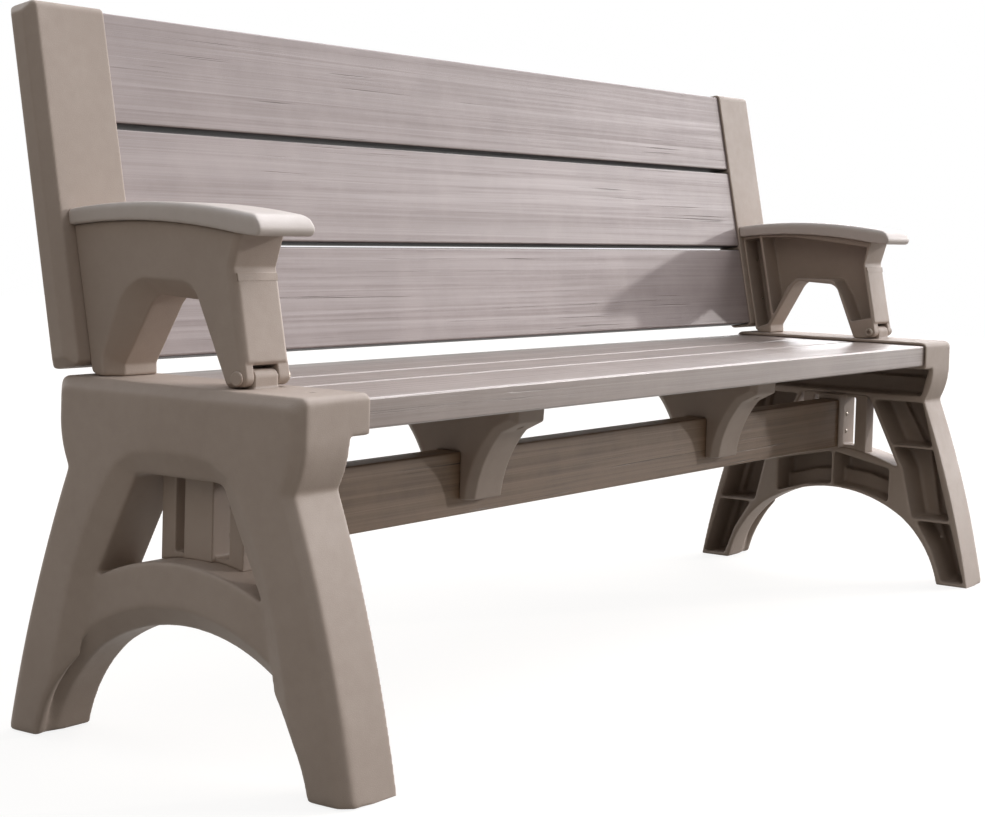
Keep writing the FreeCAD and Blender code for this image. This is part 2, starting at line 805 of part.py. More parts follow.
def dress(body, kind, name, base, size, chosen):
    """Rounds or bevels the edges of a body's last feature that the chooser accepts."""
    doc.recompute()
    names = ["Edge%d" % number for number, edge in enumerate(base.Shape.Edges, 1) if chosen(edge)]
    feature = body.newObject("PartDesign::" + kind, name)
    feature.Base = (base, names)
    path = "Size" if kind == "Chamfer" else "Radius"
    setattr(feature, path, term(size).value)
    bind(feature, path, size)
    return feature


def bracket():
    """The bracket that stands astride the stretcher and carries the seat's middle."""
    body = doc.addObject("PartDesign::Body", "right_center_bracket")
    low = SEAT_UNDER - S.bracket_height
    shoulder = SEAT_UNDER - S.bracket_shoulder_drop
    side = [
        (S.bracket_foot_reach, low), (S.bracket_reach - S.bracket_shoulder_inset, shoulder),
        (S.bracket_reach - 1, SEAT_UNDER - S.bracket_lip), (S.bracket_reach, SEAT_UNDER),
    ]
    outline = body_sketch(body, "bracket_outline")
    draw(outline, *mirror_outline(side, {0: -S.bracket_radius}))
    solid = pad(body, "bracket_solid", outline, S.bracket_width, True)
    half = S.bracket_width / 2
    bevelled = dress(body, "Chamfer", "bracket_bevel", solid, S.bracket_bevel, lambda edge: (
        (lies_at(edge, "X", half) or lies_at(edge, "X", -half))
        and not lies_at(edge, "Z", SEAT_UNDER) and not lies_at(edge, "Z", low)))
    clear = S.stretcher_thickness / 2 + S.fit_play
    notch = body_sketch(body, "bracket_notch")
    draw_box(notch, (-clear, clear), (low - 1, STRETCHER_TOP + S.fit_play))
    pocket_through(body, "bracket_notch_cut", notch, S.bracket_width + 2)
    body.Tip = body.Group[-1]
    bind(body, ".Placement.Base.x", S.bracket_place)
    tools = []
    for side_name, sign in (("rear", 1), ("front", -1)):
        dx, y, z = bracket_screw_places(sign)[0]
        x = S.bracket_place + dx
        tools.append(peg(
            "bracket_%s_head_way" % side_name, (x, y, z - 30), term(30), 0, S.screw_head_radius + 0.5))
        tools.append(peg("bracket_%s_way" % side_name, (x, y, z - 1), term(20), 0, SCREW_WAY))
    return centre(cut("right_bracket_drilled", body, tools))


# Pieces of the back. They are drawn upright, with s measured up the back and w forward from it,
# and then laid back about the line where the back begins. w points towards negative Y.


def reclined(piece):
    """Lays a piece back by the recline and sets it at the foot of the back."""
    piece.Placement = FreeCAD.Placement(
        Vector(0, 0, 0), FreeCAD.Rotation(Vector(1, 0, 0), -S.recline.value))
    bind(piece, ".Placement.Rotation.Angle", -S.recline)
    bind(piece, ".Placement.Base.y", BACK_Y + SHIFT)
    bind(piece, ".Placement.Base.z", BACK_Z)
    return piece


def from_ws(points):
    """Turns places given as (w, s) into places across and up."""
    return [(-term(w), s) for w, s in points]


CAP_BOLT_X = ARM_INNER + S.arm_width / 2
CAP_BOLT_HEIGHTS = (S.back_plank * 0.32, S.back_plank * 0.85)
CAP_INNER = BLOCK_INNER
POCKET_PLAY = S.fit_play


def cap_bolt_ways(name, start, length):
    """Ways for the two bolts that go from the cap's rear face into the armrest."""
    return [
        peg("%s_bolt_way_%d" % (name, count), (CAP_BOLT_X, start, s), term(length), 90, SCREW_WAY)
        for count, s in enumerate(CAP_BOLT_HEIGHTS, 1)]


def back_planks():
    """The three back planks from the lowest up."""
    for count, place in enumerate(("bottom", "middle", "top")):
        low = (S.back_plank + S.back_gap) * count
        name = "back_plank_" + place
        board = hollow_board(
            name, PLANK_END, (term(0), S.plank_thickness), (low, low + S.back_plank), 1, S.plank_edge)
        if count == 0:
            ways = []
            for end, sign in (("right", 1), ("left", -1)):
                for number, s in enumerate(CAP_BOLT_HEIGHTS, 1):
                    ways.append(peg(
                        "%s_%s_bolt_way_%d" % (name, end, number),
                        (CAP_BOLT_X * sign, CAP_REAR + 1, s), CAP_REAR + 3, 90, SCREW_WAY))
            board = cut(name, board, ways)
        name_piece(reclined(board), name)


def back_cap():
    """The moulded cap that takes the three back planks' ends."""
    body = doc.addObject("PartDesign::Body", "cap")
    outline = body_sketch(body, "cap_outline")
    draw_box(outline, (-S.cap_lip, CAP_REAR), (-S.cap_margin, CAP_TOP))
    solid = pad(body, "cap_solid", outline, S.block_depth)
    bevelled = dress(
        body, "Chamfer", "cap_bevel", solid, S.edge_bevel, lambda edge: lies_at(edge, "X", S.block_depth))
    dress(body, "Fillet", "cap_corners", bevelled, S.cap_corner, lambda edge: (
        edge.BoundBox.XLength > S.block_depth.value / 2
        and edge.BoundBox.YLength < 1 and edge.BoundBox.ZLength < 1))
    pocket = body_sketch(body, "cap_pocket")
    for count in range(3):
        low = (S.back_plank + S.back_gap) * count
        draw_box(
            pocket, (-POCKET_PLAY, S.plank_thickness + POCKET_PLAY),
            (low - POCKET_PLAY, low + S.back_plank + POCKET_PLAY))
    pocket_through(body, "cap_pocket_cut", pocket, (S.block_depth - S.plank_end_gap + 2) * 2)
    body.Tip = body.Group[-1]
    bind(body, ".Placement.Base.x", CAP_INNER)
    return reclined(cut("cap_drilled", body, cap_bolt_ways("cap", CAP_REAR + 1, CAP_REAR + S.cap_lip + 3)))


# Armrest.

FOOT_RISE = BLOCK_TOP + S.arm_foot_play - BACK_Z


def foot_height(w):
    """How high up the back's slope the level foot lies at a distance in front of it."""
    return (FOOT_RISE - term(w) * LEAN_SINE) / LEAN_COSINE


ARM_FRONT = PIN_W + S.pin_rise - S.stop_play
FACE_W = PIN_W + S.knuckle_radius


def arm_outline():
    """The side view of an armrest frame, in (w, s)."""
    rear = S.cap_lip
    points = [
        (rear, foot_height(rear) + 5), (12, foot_height(12)), (PIN_W - 20, foot_height(PIN_W - 20)),
        (PIN_W, PIN_S - S.knuckle_radius), (FACE_W, PIN_S),
        (FACE_W, S.arm_nose_height - S.arm_step), (S.arm_nose_reach, S.arm_nose_height),
        (rear, S.arm_rear_height),
    ]
    return points


def arm_opening(inset):
    """The opening in the side of the armrest: its outer crease, or the inner edge when inset."""
    if inset:
        return [(PIN_W - 29, -80), (182, 34), (168, 48), (108, 63), (88, 50), (36, -10), (28, -80)]
    return [(PIN_W - 12, -80), (186, 54), (166, 71), (105, 84), (62, 62), (24, 2), (20, -80)]


ARM_CORNERS = ({1: -30, 3: -60}, {1: -22, 3: -35})


def arm_cells():
    """The hollows of the armrest's open inner side, before and behind its one rib, in (w, s)."""
    front = FACE_W - S.arm_wall
    rear = S.cap_lip + S.arm_wall
    top = S.arm_rear_height
    return [
        [
            (PIN_W - 34, -26), (front, -26), (front, S.arm_nose_height - S.arm_step - 3),
            (S.arm_nose_reach - 10, S.arm_nose_height - 7), (174, top - 37), (108, top - 18),
            (44, top - 7), (44, 8), (82, 56), (102, 69), (168, 57), (177, 53), (PIN_W - 44, 22)],
        [(rear, -10), (30, -6), (39, 4), (39, top - 7), (rear, top - 6)],
    ]


def armrest():
    """The moulded armrest with two ears that straddle the knuckle on the seat block."""
    solid = prism(
        "arm_solid", (ARM_INNER, ARM_OUTER),
        [(from_ws(arm_outline()), {3: -S.knuckle_radius, 6: -S.arm_top_radius})])
    opening_side = slope(
        "arm_opening_bevel", (ARM_OUTER - 25, ARM_OUTER),
        (from_ws(arm_opening(True)), ARM_CORNERS[1]), (from_ws(arm_opening(False)), ARM_CORNERS[0]))
    opening = prism(
        "arm_opening", (ARM_INNER - 1, ARM_OUTER - 24), [(from_ws(arm_opening(True)), ARM_CORNERS[1])])
    slot_clear = S.knuckle_radius + 3.5
    slot = block(
        "hinge_slot", (EAR_INNER_SIDE, EAR_OUTER_SIDE), (-PIN_W - 40, slot_clear - PIN_W),
        (PIN_S - 40, PIN_S + slot_clear))
    bore = rod(
        "ear_bore", (ARM_INNER - 1, ARM_OUTER + 1), -PIN_W, PIN_S, S.pin_radius + S.pin_play)
    panel = block(
        "arm_panel", (ARM_INNER + 4, ARM_OUTER - 8), (-ARM_FRONT, -(FACE_W - 1)),
        (PIN_S + slot_clear + 2, S.arm_nose_height - S.arm_step - 8))
    cells = [
        prism("arm_cell_%d" % count, (ARM_INNER - 1, ARM_OUTER - 25 - S.arm_wall), [(from_ws(cell),)])
        for count, cell in enumerate(arm_cells(), 1)]
    rounded = ease("Chamfer", "arm_bevelled", solid, term(5), lambda edge: (
        lies_at(edge, "X", ARM_OUTER) and edge.BoundBox.YMax < -FACE_W.value + 25
        and edge.BoundBox.ZMin > PIN_S.value - 1))
    whole = join("arm_whole", [rounded, panel])
    tools = [opening_side, opening, slot, bore] + cells
    tools += cap_bolt_ways("arm", S.cap_lip * -1 + 2, term(12))
    return reclined(cut("right_armrest_frame_cut", whole, tools))


def arm_pad():
    """The pad on top of an armrest, with its nose rounded off in front."""
    body = doc.addObject("PartDesign::Body", "arm_pad")
    rear = S.cap_lip
    nose = S.arm_nose_reach + S.pad_nose_reach
    underside = S.arm_nose_height - 9
    top_rear = S.arm_rear_height + S.pad_rear_thickness
    points = [
        (rear, S.arm_rear_height), (S.arm_nose_reach, S.arm_nose_height),
        (nose - S.pad_under_radius * 0.8, underside), (nose, underside + S.pad_under_radius),
        (nose - S.pad_top_radius * 0.55, underside + S.pad_nose_thickness),
        (rear, top_rear),
    ]
    outline = body_sketch(body, "pad_outline")
    draw(outline, from_ws(points), {
        0: S.arm_top_radius, 2: -S.pad_under_radius, 3: -S.pad_top_radius, 4: -S.pad_crown_radius})
    width = S.arm_width + S.pad_overhang * 2 + 2
    solid = pad(body, "pad_solid", outline, width)
    dress(body, "Fillet", "pad_edges", solid, S.pad_edge, lambda edge: (
        (lies_at(edge, "X", term(0)) or lies_at(edge, "X", width))
        and edge.BoundBox.ZMax > top_rear.value - 1 and edge.BoundBox.YLength > S.arm_nose_reach.value / 2))
    body.Tip = body.Group[-1]
    bind(body, ".Placement.Base.x", ARM_INNER - S.pad_overhang - 2)
    return reclined(body)


# Hinge pins and retainers, turned pieces about the hinge line.


def turned(name, profile):
    """A turned body about X from a half profile of (x, radius)."""
    body = doc.addObject("PartDesign::Body", name)
    sketch = body_sketch(body, name + "_profile", "XY_Plane")
    draw(sketch, profile)
    feature = body.newObject("PartDesign::Revolution", name + "_turned")
    feature.Profile = sketch
    feature.ReferenceAxis = (sketch, ["H_Axis"])
    feature.Angle = 360
    body.Tip = feature
    bind(body, ".Placement.Base.y", PIN_Y + SHIFT)
    bind(body, ".Placement.Base.z", PIN_Z)
    return body


def hinge_pin():
    inner = ARM_INNER - S.side_play - 5.5
    head = ARM_OUTER + S.side_play
    hollow = S.pin_radius * 0.66
    tip = head + S.pin_head_height
    return turned("hinge_pin", [
        (inner + 4, 0), (inner + 4, hollow), (inner, hollow), (inner, S.pin_radius),
        (head, S.pin_radius), (head, S.pin_head_radius), (tip - 1, S.pin_head_radius),
        (tip, S.pin_head_radius - 1), (tip, 0),
    ])


def pin_retainer():
    outer = ARM_INNER - S.side_play
    edge = S.pin_radius + 2.3
    return turned("pin_retainer", [
        (outer - 4.5, S.pin_radius), (outer - 4.5, edge - 0.8), (outer - 3.7, edge),
        (outer, edge), (outer, S.pin_radius),
    ])


def all_screws():
    """Every screw and bolt, grouped by kind."""
    seat = [
        centre_at(screw("seat_screw_%d" % count, (x, y, z), 14, 0), y)
        for count, (x, y, z) in enumerate(seat_screw_places(), 1)]
    fasteners("seat_screws", seat)
    front = term(0) - S.post_half_width
    posts = [
        centre_at(screw("post_screw_%d" % count, (POST_SCREW_X, front, z), 10, 90), front)
        for count, z in enumerate(POST_SCREW_HEIGHTS, 1)]
    fasteners("post_screws", posts)
    brackets = []
    for count, sign in enumerate((1, -1), 1):
        dx, y, z = bracket_screw_places(sign)[0]
        brackets.append(centre_at(
            screw("bracket_screw_%d" % count, (S.bracket_place + dx, y, z), S.bracket_screw_length, 180), y))
    fasteners("bracket_screws", brackets)
    bolts = []
    for count, s in enumerate(CAP_BOLT_HEIGHTS, 1):
        bolt = screw("cap_bolt_%d" % count, (0, 0, 0), CAP_REAR + S.cap_lip + 6, -90)
        angle = -S.recline
        bolt.Placement = FreeCAD.Placement(Vector(), FreeCAD.Rotation(Vector(1, 0, 0), angle.value))
        bind(bolt, ".Placement.Rotation.Angle", angle)
        bind(bolt, ".Placement.Base.x", CAP_BOLT_X)
        bind(bolt, ".Placement.Base.y", BACK_Y + SHIFT + CAP_REAR * LEAN_COSINE + s * LEAN_SINE)
        bind(bolt, ".Placement.Base.z", BACK_Z - CAP_REAR * LEAN_SINE + s * LEAN_COSINE)
        bolts.append(bolt)
    fasteners("cap_bolts", bolts)


def centre_at(piece, across):
    bind(piece, ".Placement.Base.y", term(across) + SHIFT)
    return piece


def build():
    """Builds every piece of the bench."""
    window = prism("window", (BLOCK_INNER, S.half_length + 1), [window_outline()])
    both_ends("leg_frame", leg_frame(window))
    both_ends("stretcher_post", stretcher_post(window))
    stretcher()
    seat_planks()
    both_ends("center_bracket", bracket())
    back_planks()
    both_ends("back_cap", back_cap())
    both_ends("armrest_frame", armrest())
    both_ends("arm_pad", arm_pad())
    both_ends("hinge_pin", hinge_pin())
    both_ends("pin_retainer", pin_retainer())
    all_screws()


def check_and_write():
    """Recomputes the document, stops on any faulty object and writes one file for each piece."""
    doc.recompute()
    faulty = [
        item.Name for item in doc.Objects if "Invalid" in item.State or "Error" in item.State]
    if faulty:
        raise RuntimeError("faulty objects: %s" % ", ".join(faulty))
    os.makedirs("parts", exist_ok=True)
    for label, piece in finished.items():
        if piece.Shape.isNull() or not piece.Shape.isValid():
            raise RuntimeError("%s has no valid shape" % label)
        piece.Shape.exportStep("parts/%s.step" % label)


build()
check_and_write()
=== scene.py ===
"""Convertible picnic table bench: finishes, small parts, light and camera round the fixed frame."""

import json
import logging
import math
from dataclasses import dataclass
from enum import Enum
from typing import Iterable, Optional, Sequence, Union

import bmesh
import bpy
from mathutils import Matrix, Vector
from mathutils.bvhtree import BVHTree

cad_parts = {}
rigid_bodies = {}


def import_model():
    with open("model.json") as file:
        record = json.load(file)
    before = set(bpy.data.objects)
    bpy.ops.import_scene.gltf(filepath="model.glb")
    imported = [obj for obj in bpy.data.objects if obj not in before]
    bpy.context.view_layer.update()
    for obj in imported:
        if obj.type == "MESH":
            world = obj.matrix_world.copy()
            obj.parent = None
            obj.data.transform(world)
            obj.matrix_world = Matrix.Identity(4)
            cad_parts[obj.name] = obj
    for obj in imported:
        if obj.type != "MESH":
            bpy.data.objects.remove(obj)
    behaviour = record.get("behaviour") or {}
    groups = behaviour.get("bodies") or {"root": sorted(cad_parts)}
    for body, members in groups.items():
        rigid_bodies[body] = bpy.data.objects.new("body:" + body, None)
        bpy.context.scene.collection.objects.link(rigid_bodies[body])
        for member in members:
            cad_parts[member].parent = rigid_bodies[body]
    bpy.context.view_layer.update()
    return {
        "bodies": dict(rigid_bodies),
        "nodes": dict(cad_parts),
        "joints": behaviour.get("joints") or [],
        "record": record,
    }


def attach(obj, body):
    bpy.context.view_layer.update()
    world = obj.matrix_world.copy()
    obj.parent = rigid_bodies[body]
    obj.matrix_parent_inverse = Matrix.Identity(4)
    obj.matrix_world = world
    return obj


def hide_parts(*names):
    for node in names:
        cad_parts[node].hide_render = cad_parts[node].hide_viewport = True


logging.basicConfig(level=logging.INFO, format="%(message)s")
LOG = logging.getLogger("bench")

Colour = tuple[float, float, float]
Point = tuple[float, float, float]
Level = Union[bpy.types.NodeSocket, float]
Shade = Union[bpy.types.NodeSocket, Colour]

SIDES = ("left", "right")
RECLINE = math.radians(11.3)
WELD = 2e-6
FLAT = math.radians(1.2)


class Body(Enum):
    """The two bodies of the bench."""

    BASE = "base"
    BACK = "back"


class Slot(Enum):
    """The record's material slots."""

    PLANK = "plank"
    STRETCHER = "stretcher"
    MOULDING = "moulding"
    PAD = "pad"
    METAL = "metal"


def linear(red: int, green: int, blue: int) -> Colour:
    """Turns a display colour into a linear one.

    Args:
        red, green, blue: levels from 0 to 255.

    Returns:
        The three linear levels from 0 to 1.
    """
    def level(value: int) -> float:
        """Takes one channel through the display curve."""
        share = value / 255
        return share / 12.92 if share <= 0.04045 else ((share + 0.055) / 1.055) ** 2.4
    return level(red), level(green), level(blue)


class Tree:
    """A node tree under construction, for a material, a group or a geometry modifier."""

    def __init__(self, tree: bpy.types.NodeTree) -> None:
        """Starts from an empty tree."""
        self.tree = tree
        tree.nodes.clear()

    def add(self, kind: str, inputs: Optional[dict] = None, **settings) -> bpy.types.Node:
        """Adds a node.

        Args:
            kind: the node's type name.
            inputs: values or sockets by input name or number.
            settings: properties of the node.

        Returns:
            The new node.
        """
        node = self.tree.nodes.new(kind)
        for name, value in settings.items():
            setattr(node, name, value)
        for name, value in (inputs or {}).items():
            socket = node.inputs[name]
            if isinstance(value, bpy.types.NodeSocket):
                self.tree.links.new(value, socket)
            elif isinstance(value, tuple) and len(value) == 3 and socket.type == "RGBA":
                socket.default_value = (*value, 1.0)
            else:
                socket.default_value = value
        return node

    def maths(self, operation: str, first: Level, second: Level = 0.0) -> bpy.types.NodeSocket:
        """Adds one sum and returns its result."""
        node = self.add("ShaderNodeMath", operation=operation)
        for socket, value in zip(node.inputs, (first, second)):
            if isinstance(value, bpy.types.NodeSocket):
                self.tree.links.new(value, socket)
            else:
                socket.default_value = value
        return node.outputs[0]

    def span(self, value: bpy.types.NodeSocket, low: float, high: float,
             to_low: float = 0.0, to_high: float = 1.0) -> bpy.types.NodeSocket:
        """Maps a value from one range onto another, smoothly and within its ends."""
        node = self.add("ShaderNodeMapRange", {
            "Value": value, "From Min": low, "From Max": high, "To Min": to_low, "To Max": to_high,
        }, interpolation_type="SMOOTHSTEP")
        return node.outputs["Result"]

    def mix(self, share: Level, first: Shade, second: Shade) -> bpy.types.NodeSocket:
        """Mixes two colours by a share and returns the colour."""
        node = self.add("ShaderNodeMix", data_type="RGBA")
        sockets = (node.inputs[0], node.inputs[6], node.inputs[7])
        for socket, value in zip(sockets, (share, first, second)):
            if isinstance(value, bpy.types.NodeSocket):
                self.tree.links.new(value, socket)
            else:
                socket.default_value = (*value, 1.0) if isinstance(value, tuple) else value
        return node.outputs[2]

    def noise(self, place: bpy.types.NodeSocket, scale: Level, detail: float = 4.0,
              roughness: float = 0.5) -> bpy.types.NodeSocket:
        """Adds a noise texture and returns its value."""
        node = self.add("ShaderNodeTexNoise", {
            "Vector": place, "Scale": scale, "Detail": detail, "Roughness": roughness})
        return node.outputs["Fac"]

    def stretched(self, place: bpy.types.NodeSocket, scale: Point) -> bpy.types.NodeSocket:
        """Stretches the coordinates by a scale for each axis."""
        return self.add("ShaderNodeMapping", {"Vector": place, "Scale": scale}).outputs["Vector"]


class ShaderGroup:
    """A shared effect as a node group with named inputs and outputs."""

    def __init__(self, name: str, inputs: Iterable[tuple[str, str, float]],
                 outputs: Iterable[tuple[str, str]]) -> None:
        """Makes the group and its sockets.

        Args:
            name: the group's name.
            inputs: each input's name, socket type and first value.
            outputs: each output's name and socket type.
        """
        self.group = bpy.data.node_groups.new(name, "ShaderNodeTree")
        self.tree = Tree(self.group)
        for label, kind, value in inputs:
            socket = self.group.interface.new_socket(label, in_out="INPUT", socket_type=kind)
            if kind == "NodeSocketFloat":
                socket.default_value = value
        for label, kind in outputs:
            self.group.interface.new_socket(label, in_out="OUTPUT", socket_type=kind)
        self.entry = self.tree.add("NodeGroupInput").outputs
        self.exit = self.tree.add("NodeGroupOutput").inputs

    def put(self, name: str, value: bpy.types.NodeSocket) -> None:
        """Joins a value to an output of the group."""
        self.group.links.new(value, self.exit[name])

    def place(self, tree: Tree, inputs: dict) -> bpy.types.bpy_prop_collection:
        """Places the group in a material and returns its outputs."""
        node = tree.add("ShaderNodeGroup", node_tree=self.group)
        for name, value in inputs.items():
            if isinstance(value, bpy.types.NodeSocket):
                tree.tree.links.new(value, node.inputs[name])
            else:
                node.inputs[name].default_value = value
        return node.outputs


def wear_and_corner_shade_group() -> ShaderGroup:
    """Masks for rubbed edges and for painted shade in inner corners.

    Returns:
        A group with the inputs Place and Amount and the outputs Edge and Corner.
    """
    group = ShaderGroup(
        "edge_wear", [("Place", "NodeSocketVector", 0.0), ("Amount", "NodeSocketFloat", 0.5)],
        [("Edge", "NodeSocketFloat"), ("Corner", "NodeSocketFloat")])
    tree = group.tree
    pointed = tree.add("ShaderNodeNewGeometry").outputs["Pointiness"]
    patches = tree.span(tree.noise(group.entry["Place"], 9.0, 5.0, 0.6), 0.35, 0.7)
    edge = tree.span(pointed, 0.505, 0.56)
    group.put("Edge", tree.maths("MULTIPLY", tree.maths("MULTIPLY", edge, patches), group.entry["Amount"]))
    # painted shade: inner corners, where shade falls, are masked from the pointiness
    corner = tree.span(pointed, 0.495, 0.44)
    group.put("Corner", tree.maths("MULTIPLY", corner, group.entry["Amount"]))
    return group


def moulded_skin_group() -> ShaderGroup:
    """The skin of a blow-moulded plastic part: fine pebbles, soft waves and faint blotches.

    Returns:
        A group with the inputs Place and Pebble and the outputs Tone and Height.
    """
    group = ShaderGroup(
        "moulded_skin", [("Place", "NodeSocketVector", 0.0), ("Pebble", "NodeSocketFloat", 900.0)],
        [("Tone", "NodeSocketFloat"), ("Height", "NodeSocketFloat")])
    tree = group.tree
    place = group.entry["Place"]
    pebbles = tree.add("ShaderNodeTexVoronoi", {
        "Vector": place, "Scale": group.entry["Pebble"]}, feature="SMOOTH_F1").outputs["Distance"]
    fine = tree.noise(place, group.entry["Pebble"], 2.0)
    waves = tree.noise(place, 7.0, 2.0)
    blotches = tree.noise(place, 3.2, 5.0, 0.55)
    flecks = tree.noise(place, 64.0, 3.0, 0.6)
    tone = tree.maths("ADD", tree.maths("MULTIPLY", blotches, 0.72), tree.maths("MULTIPLY", flecks, 0.28))
    group.put("Tone", tree.span(tone, 0.28, 0.72))
    height = tree.maths("ADD", tree.maths("MULTIPLY", pebbles, 0.5), tree.maths("MULTIPLY", fine, 0.5))
    group.put("Height", tree.maths("ADD", height, tree.maths("MULTIPLY", waves, 3.0)))
    return group


def plank_grain_group() -> ShaderGroup:
    """The pressed wood grain of plastic lumber, running along the bench.

    Returns:
        A group with the inputs Place, Density and Cracks and the outputs Tone, Dark and Height.
    """
    group = ShaderGroup(
        "plank_grain", [
            ("Place", "NodeSocketVector", 0.0), ("Density", "NodeSocketFloat", 1.0),
            ("Cracks", "NodeSocketFloat", 0.5)],
        [("Tone", "NodeSocketFloat"), ("Dark", "NodeSocketFloat"), ("Height", "NodeSocketFloat")])
    tree = group.tree
    place = group.entry["Place"]
    drift = tree.add("ShaderNodeTexNoise", {
        "Vector": tree.stretched(place, (1.6, 5.0, 5.0)), "Scale": 1.0, "Detail": 2.0}).outputs["Color"]
    shift = tree.add("ShaderNodeVectorMath", {0: drift, 1: (0.012, 0.012, 0.012)}, operation="MULTIPLY")
    bent = tree.add("ShaderNodeVectorMath", {0: place, 1: shift.outputs[0]}, operation="ADD").outputs[0]
    dense = tree.add("ShaderNodeVectorMath", {0: bent}, operation="SCALE")
    group.group.links.new(group.entry["Density"], dense.inputs["Scale"])
    rows = tree.noise(tree.stretched(place, (0.0, 90.0, 90.0)), 1.0, 2.0)
    slide = tree.add("ShaderNodeCombineXYZ", {"X": tree.maths("MULTIPLY", rows, 6.0)}).outputs[0]
    dense = tree.add("ShaderNodeVectorMath", {0: dense.outputs[0], 1: slide}, operation="ADD").outputs[0]
    broad = tree.noise(tree.stretched(dense, (0.55, 20.0, 20.0)), 1.0, 3.0, 0.55)
    fine = tree.noise(tree.stretched(dense, (1.3, 130.0, 130.0)), 1.0, 4.0, 0.6)
    hair = tree.noise(tree.stretched(dense, (9.0, 600.0, 600.0)), 1.0, 3.0, 0.6)
    tone = tree.maths("ADD", tree.maths("MULTIPLY", broad, 0.42), tree.maths("MULTIPLY", fine, 0.58))
    group.put("Tone", tree.span(tone, 0.3, 0.7))
    lines = tree.noise(tree.stretched(dense, (2.2, 230.0, 230.0)), 1.0, 2.0, 0.5)
    where = tree.noise(tree.stretched(place, (2.4, 9.0, 9.0)), 1.0, 3.0, 0.6)
    cracks = tree.maths("MULTIPLY", tree.span(lines, 0.64, 0.71), tree.span(where, 0.49, 0.6))
    dark = tree.maths("MULTIPLY", cracks, group.entry["Cracks"])
    group.put("Dark", dark)
    relief = tree.maths("ADD", tree.maths("MULTIPLY", fine, 0.7), tree.maths("MULTIPLY", hair, 0.35))
    group.put("Height", tree.maths("SUBTRACT", relief, tree.maths("MULTIPLY", cracks, 1.2)))
    return group


@dataclass(frozen=True)
class Effects:
    """The shared node groups."""

    wear_and_shade: ShaderGroup
    skin: ShaderGroup
    grain: ShaderGroup


@dataclass(frozen=True)
class MouldedFinish:
    """Matte moulded plastic with a fine skin, rubbed edges and painted shade in its inner corners."""

    name: str
    light: Colour
    dark: Colour
    roughness: float = 0.62
    pebble: float = 850.0
    bump: float = 0.0004

    def build(self, effects: Effects) -> bpy.types.Material:
        """Makes the material."""
        material = bpy.data.materials.new(self.name)
        material.use_nodes = True
        tree = Tree(material.node_tree)
        place = tree.add("ShaderNodeTexCoord").outputs["Object"]
        skin = effects.skin.place(tree, {"Place": place, "Pebble": self.pebble})
        wear_and_shade = effects.wear_and_shade.place(tree, {"Place": place, "Amount": 0.6})
        colour = tree.mix(skin["Tone"], self.dark, self.light)
        rubbed = tuple(min(1.0, level * 1.22) for level in self.light)
        # painted shade for the inner corners: the dark tone made darker still
        painted_corner_shade = tuple(level * 0.62 for level in self.dark)
        colour = tree.mix(wear_and_shade["Edge"], colour, rubbed)
        # mixes the painted corner shade into the colour
        colour = tree.mix(wear_and_shade["Corner"], colour, painted_corner_shade)
        rough = tree.span(skin["Tone"], 0.0, 1.0, self.roughness + 0.05, self.roughness - 0.06)
        bump = tree.add("ShaderNodeBump", {
            "Strength": 0.5, "Distance": self.bump, "Height": skin["Height"]})
        shader = tree.add("ShaderNodeBsdfPrincipled", {
            "Base Color": colour, "Roughness": rough, "Normal": bump.outputs["Normal"],
            "Specular IOR Level": 0.45})
        tree.add("ShaderNodeOutputMaterial", {"Surface": shader.outputs[0]})
        return material


@dataclass(frozen=True)
class PlankFinish:
    """Plastic lumber with pressed grain, streaked in two tones and cracked in places."""

    name: str
    light: Colour
    dark: Colour
    crack: Colour
    roughness: float = 0.4
    density: float = 1.0
    cracks: float = 0.8
    bump: float = 0.0006
    gloss: float = 0.5
    coat: float = 0.0
    # height below which shade is painted on the boards' up- and down-facing long edges
    gap_shade_below: float = 0.0

    def paint_gap_shade(self, tree: Tree, place: bpy.types.NodeSocket,
                       colour: bpy.types.NodeSocket) -> bpy.types.NodeSocket:
        """Paints shade on the boards' long edges, standing in for the shade in the gaps between them."""
        facing = tree.add("ShaderNodeTexCoord").outputs["Normal"]
        upright = tree.add("ShaderNodeSeparateXYZ", {"Vector": facing}).outputs["Z"]
        height = tree.add("ShaderNodeSeparateXYZ", {"Vector": place}).outputs["Z"]
        edge = tree.span(tree.maths("ABSOLUTE", upright), 0.55, 0.85)
        below = tree.span(height, self.gap_shade_below, self.gap_shade_below - 0.01)
        # painted shade: a near-black copy of the dark tone, put on the gap edges
        painted_gap_shade = tuple(level * 0.22 for level in self.dark)
        return tree.mix(tree.maths("MULTIPLY", edge, below), colour, painted_gap_shade)

    def build(self, effects: Effects) -> bpy.types.Material:
        """Makes the material."""
        material = bpy.data.materials.new(self.name)
        material.use_nodes = True
        tree = Tree(material.node_tree)
        place = tree.add("ShaderNodeTexCoord").outputs["Object"]
        grain = effects.grain.place(tree, {
            "Place": place, "Density": self.density, "Cracks": self.cracks})
        wear_and_shade = effects.wear_and_shade.place(tree, {"Place": place, "Amount": 0.4})
        colour = tree.mix(grain["Tone"], self.dark, self.light)
        colour = tree.mix(wear_and_shade["Edge"], colour, tuple(min(1.0, level * 1.15) for level in self.light))
        colour = tree.mix(grain["Dark"], colour, self.crack)
        # paints shade on the boards' long edges below the set height
        if self.gap_shade_below:
            colour = self.paint_gap_shade(tree, place, colour)
        rough = tree.span(grain["Tone"], 0.0, 1.0, self.roughness + 0.1, self.roughness - 0.04)
        bump = tree.add("ShaderNodeBump", {
            "Strength": 0.55, "Distance": self.bump, "Height": grain["Height"]})
        shader = tree.add("ShaderNodeBsdfPrincipled", {
            "Base Color": colour, "Roughness": rough, "Normal": bump.outputs["Normal"],
            "Specular IOR Level": self.gloss, "Coat Weight": self.coat, "Coat Roughness": 0.28})
        tree.add("ShaderNodeOutputMaterial", {"Surface": shader.outputs[0]})
        return material


